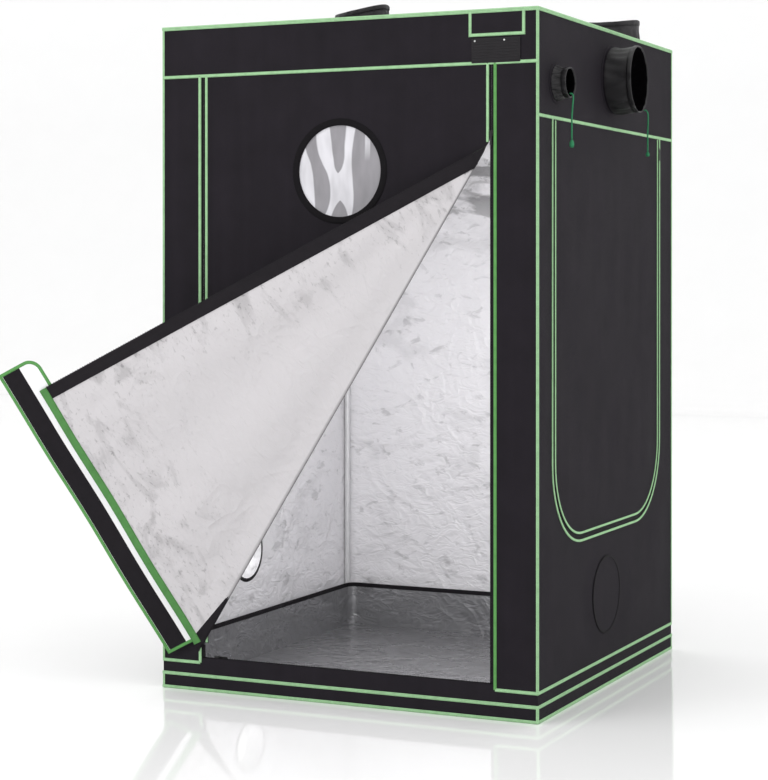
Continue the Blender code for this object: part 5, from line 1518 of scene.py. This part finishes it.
def make_stage():
    """Plain white floor and backdrop, soft light and the camera."""
    reach, back, top, corner = 30.0, 14.0, 16.0, 3.0
    path = [(-reach, 0.0)]
    path += [(back - corner + corner * sin(a), corner - corner * cos(a)) for a in np.linspace(0, pi / 2, 12)]
    path.append((back, top))
    points = [(x, y, z - 0.0006) for y, z in path for x in (-reach, reach)]
    faces = [(2 * i, 2 * i + 1, 2 * i + 3, 2 * i + 2) for i in range(len(path) - 1)]
    mesh = bpy.data.meshes.new("studio_floor")
    mesh.from_pydata(points, [], faces)
    mesh.shade_smooth()
    mesh.materials.append(floor_material("studio_white"))
    linked("studio_floor", mesh)

    world = bpy.data.worlds.new("studio")
    world.use_nodes = True
    for socket, value in zip(world.node_tree.nodes["Background"].inputs, ((1, 1, 1, 1), 1.2)):
        socket.default_value = value
    bpy.context.scene.world = world
    area_light("key", (-3.2, -5.0, 4.6), (0, 0, 0.9), (3.0, 3.0), 80)
    area_light("side", (5.5, -1.5, 3.6), (0.4, 0, 1.0), (2.5, 3.5), 45)
    area_light("inside", (0.05, -0.50, 1.05), (0.05, 0.6, 0.95), (0.85, 1.5), 7.5)

    data = bpy.data.cameras.new("camera")
    data.sensor_width = SENSOR_MM
    data.lens = FOCAL_PX * SENSOR_MM / PHOTO_TALL
    data.shift_x = -(CENTRE_PX[0] - PHOTO_WIDE / 2) / PHOTO_TALL
    data.shift_y = -(PHOTO_TALL / 2 - CENTRE_PX[1]) / PHOTO_TALL
    data.clip_end = 200
    camera = linked("camera", data)
    level = cos(CAMERA_PITCH)
    ahead = Vector((sin(CAMERA_YAW) * level, cos(CAMERA_YAW) * level, sin(CAMERA_PITCH)))
    camera.location = CAMERA_PLACE
    camera.rotation_euler = ahead.to_track_quat("-Z", "Y").to_euler()
    bpy.context.scene.camera = camera
    bpy.context.scene.view_settings.view_transform = "Standard"


# The add-on
def run_all(*makers):
    for make in makers:
        make()
    return {"FINISHED"}


class TENT_OT_materials(bpy.types.Operator):
    """Make the finishes that the other steps use"""
    bl_idname = "tent.materials"
    bl_label = "Make Finishes"

    def execute(self, context):
        LOOK.update(make_materials())
        return {"FINISHED"}


class TENT_OT_stage(bpy.types.Operator):
    """Make the floor, the backdrop, the light and the camera"""
    bl_idname = "tent.stage"
    bl_label = "Make Stage"

    def execute(self, context):
        make_stage()
        return {"FINISHED"}


class TENT_OT_cords(bpy.types.Operator):
    """Make the two drawcords with their knot and lock"""
    bl_idname = "tent.cords"
    bl_label = "Make Drawcords"

    def execute(self, context):
        return run_all(make_cords)


class TENT_OT_panels(bpy.types.Operator):
    """Make the walls, the roof and the floor of the cover"""
    bl_idname = "tent.panels"
    bl_label = "Make Panels"

    def execute(self, context):
        return run_all(make_panels)


class TENT_OT_piping(bpy.types.Operator):
    """Make the bindings and piping lines of the cover"""
    bl_idname = "tent.piping"
    bl_label = "Make Piping"

    def execute(self, context):
        return run_all(make_piping)


class TENT_OT_front_door(bpy.types.Operator):
    """Make the front door, its folded part, its storm strip and its window"""
    bl_idname = "tent.front_door"
    bl_label = "Make Front Door"

    def execute(self, context):
        return run_all(make_door_upper, make_flap, make_strip, make_window)


class TENT_OT_side_door(bpy.types.Operator):
    """Make the side door and all zips"""
    bl_idname = "tent.side_door"
    bl_label = "Make Side Door and Zips"

    def execute(self, context):
        return run_all(make_side_door, make_zips)


class TENT_OT_ports(bpy.types.Operator):
    """Make the port sleeves, the low vent and the header label"""
    bl_idname = "tent.ports"
    bl_label = "Make Ports and Label"

    def execute(self, context):
        return run_all(make_ports, make_vent, make_label)


class TENT_OT_frame(bpy.types.Operator):
    """Finish the tubes and fittings, and make the floor tray"""
    bl_idname = "tent.frame"
    bl_label = "Make Frame and Tray"

    def execute(self, context):
        return run_all(dress_frame, make_tray)


STEPS = [TENT_OT_materials, TENT_OT_stage, TENT_OT_cords, TENT_OT_panels, TENT_OT_piping, TENT_OT_front_door,
         TENT_OT_side_door, TENT_OT_ports, TENT_OT_frame]


class TENT_PT_panel(bpy.types.Panel):
    bl_label = "Grow Tent"
    bl_idname = "TENT_PT_panel"
    bl_space_type = "VIEW_3D"
    bl_region_type = "UI"
    bl_category = "Tent"

    def draw(self, context):
        for group in (context.scene.tent_sizes, context.scene.tent_colours):
            for name in group.__annotations__:
                self.layout.prop(group, name)
        for step in STEPS:
            self.layout.operator(step.bl_idname)


CLASSES = [TentSizes, TentColours, *STEPS, TENT_PT_panel]


def register():
    for item in CLASSES:
        bpy.utils.register_class(item)
    bpy.types.Scene.tent_sizes = bpy.props.PointerProperty(type=TentSizes)
    bpy.types.Scene.tent_colours = bpy.props.PointerProperty(type=TentColours)


def unregister():
    del bpy.types.Scene.tent_colours
    del bpy.types.Scene.tent_sizes
    for item in reversed(CLASSES):
        bpy.utils.unregister_class(item)


def main():
    register()
    bpy.ops.tent.materials()
    bpy.ops.tent.stage()
    bpy.ops.tent.cords()
    bpy.ops.tent.panels()
    bpy.ops.tent.piping()
    bpy.ops.tent.front_door()
    bpy.ops.tent.side_door()
    bpy.ops.tent.ports()
    bpy.ops.tent.frame()


if __name__ == "__main__":
    main()
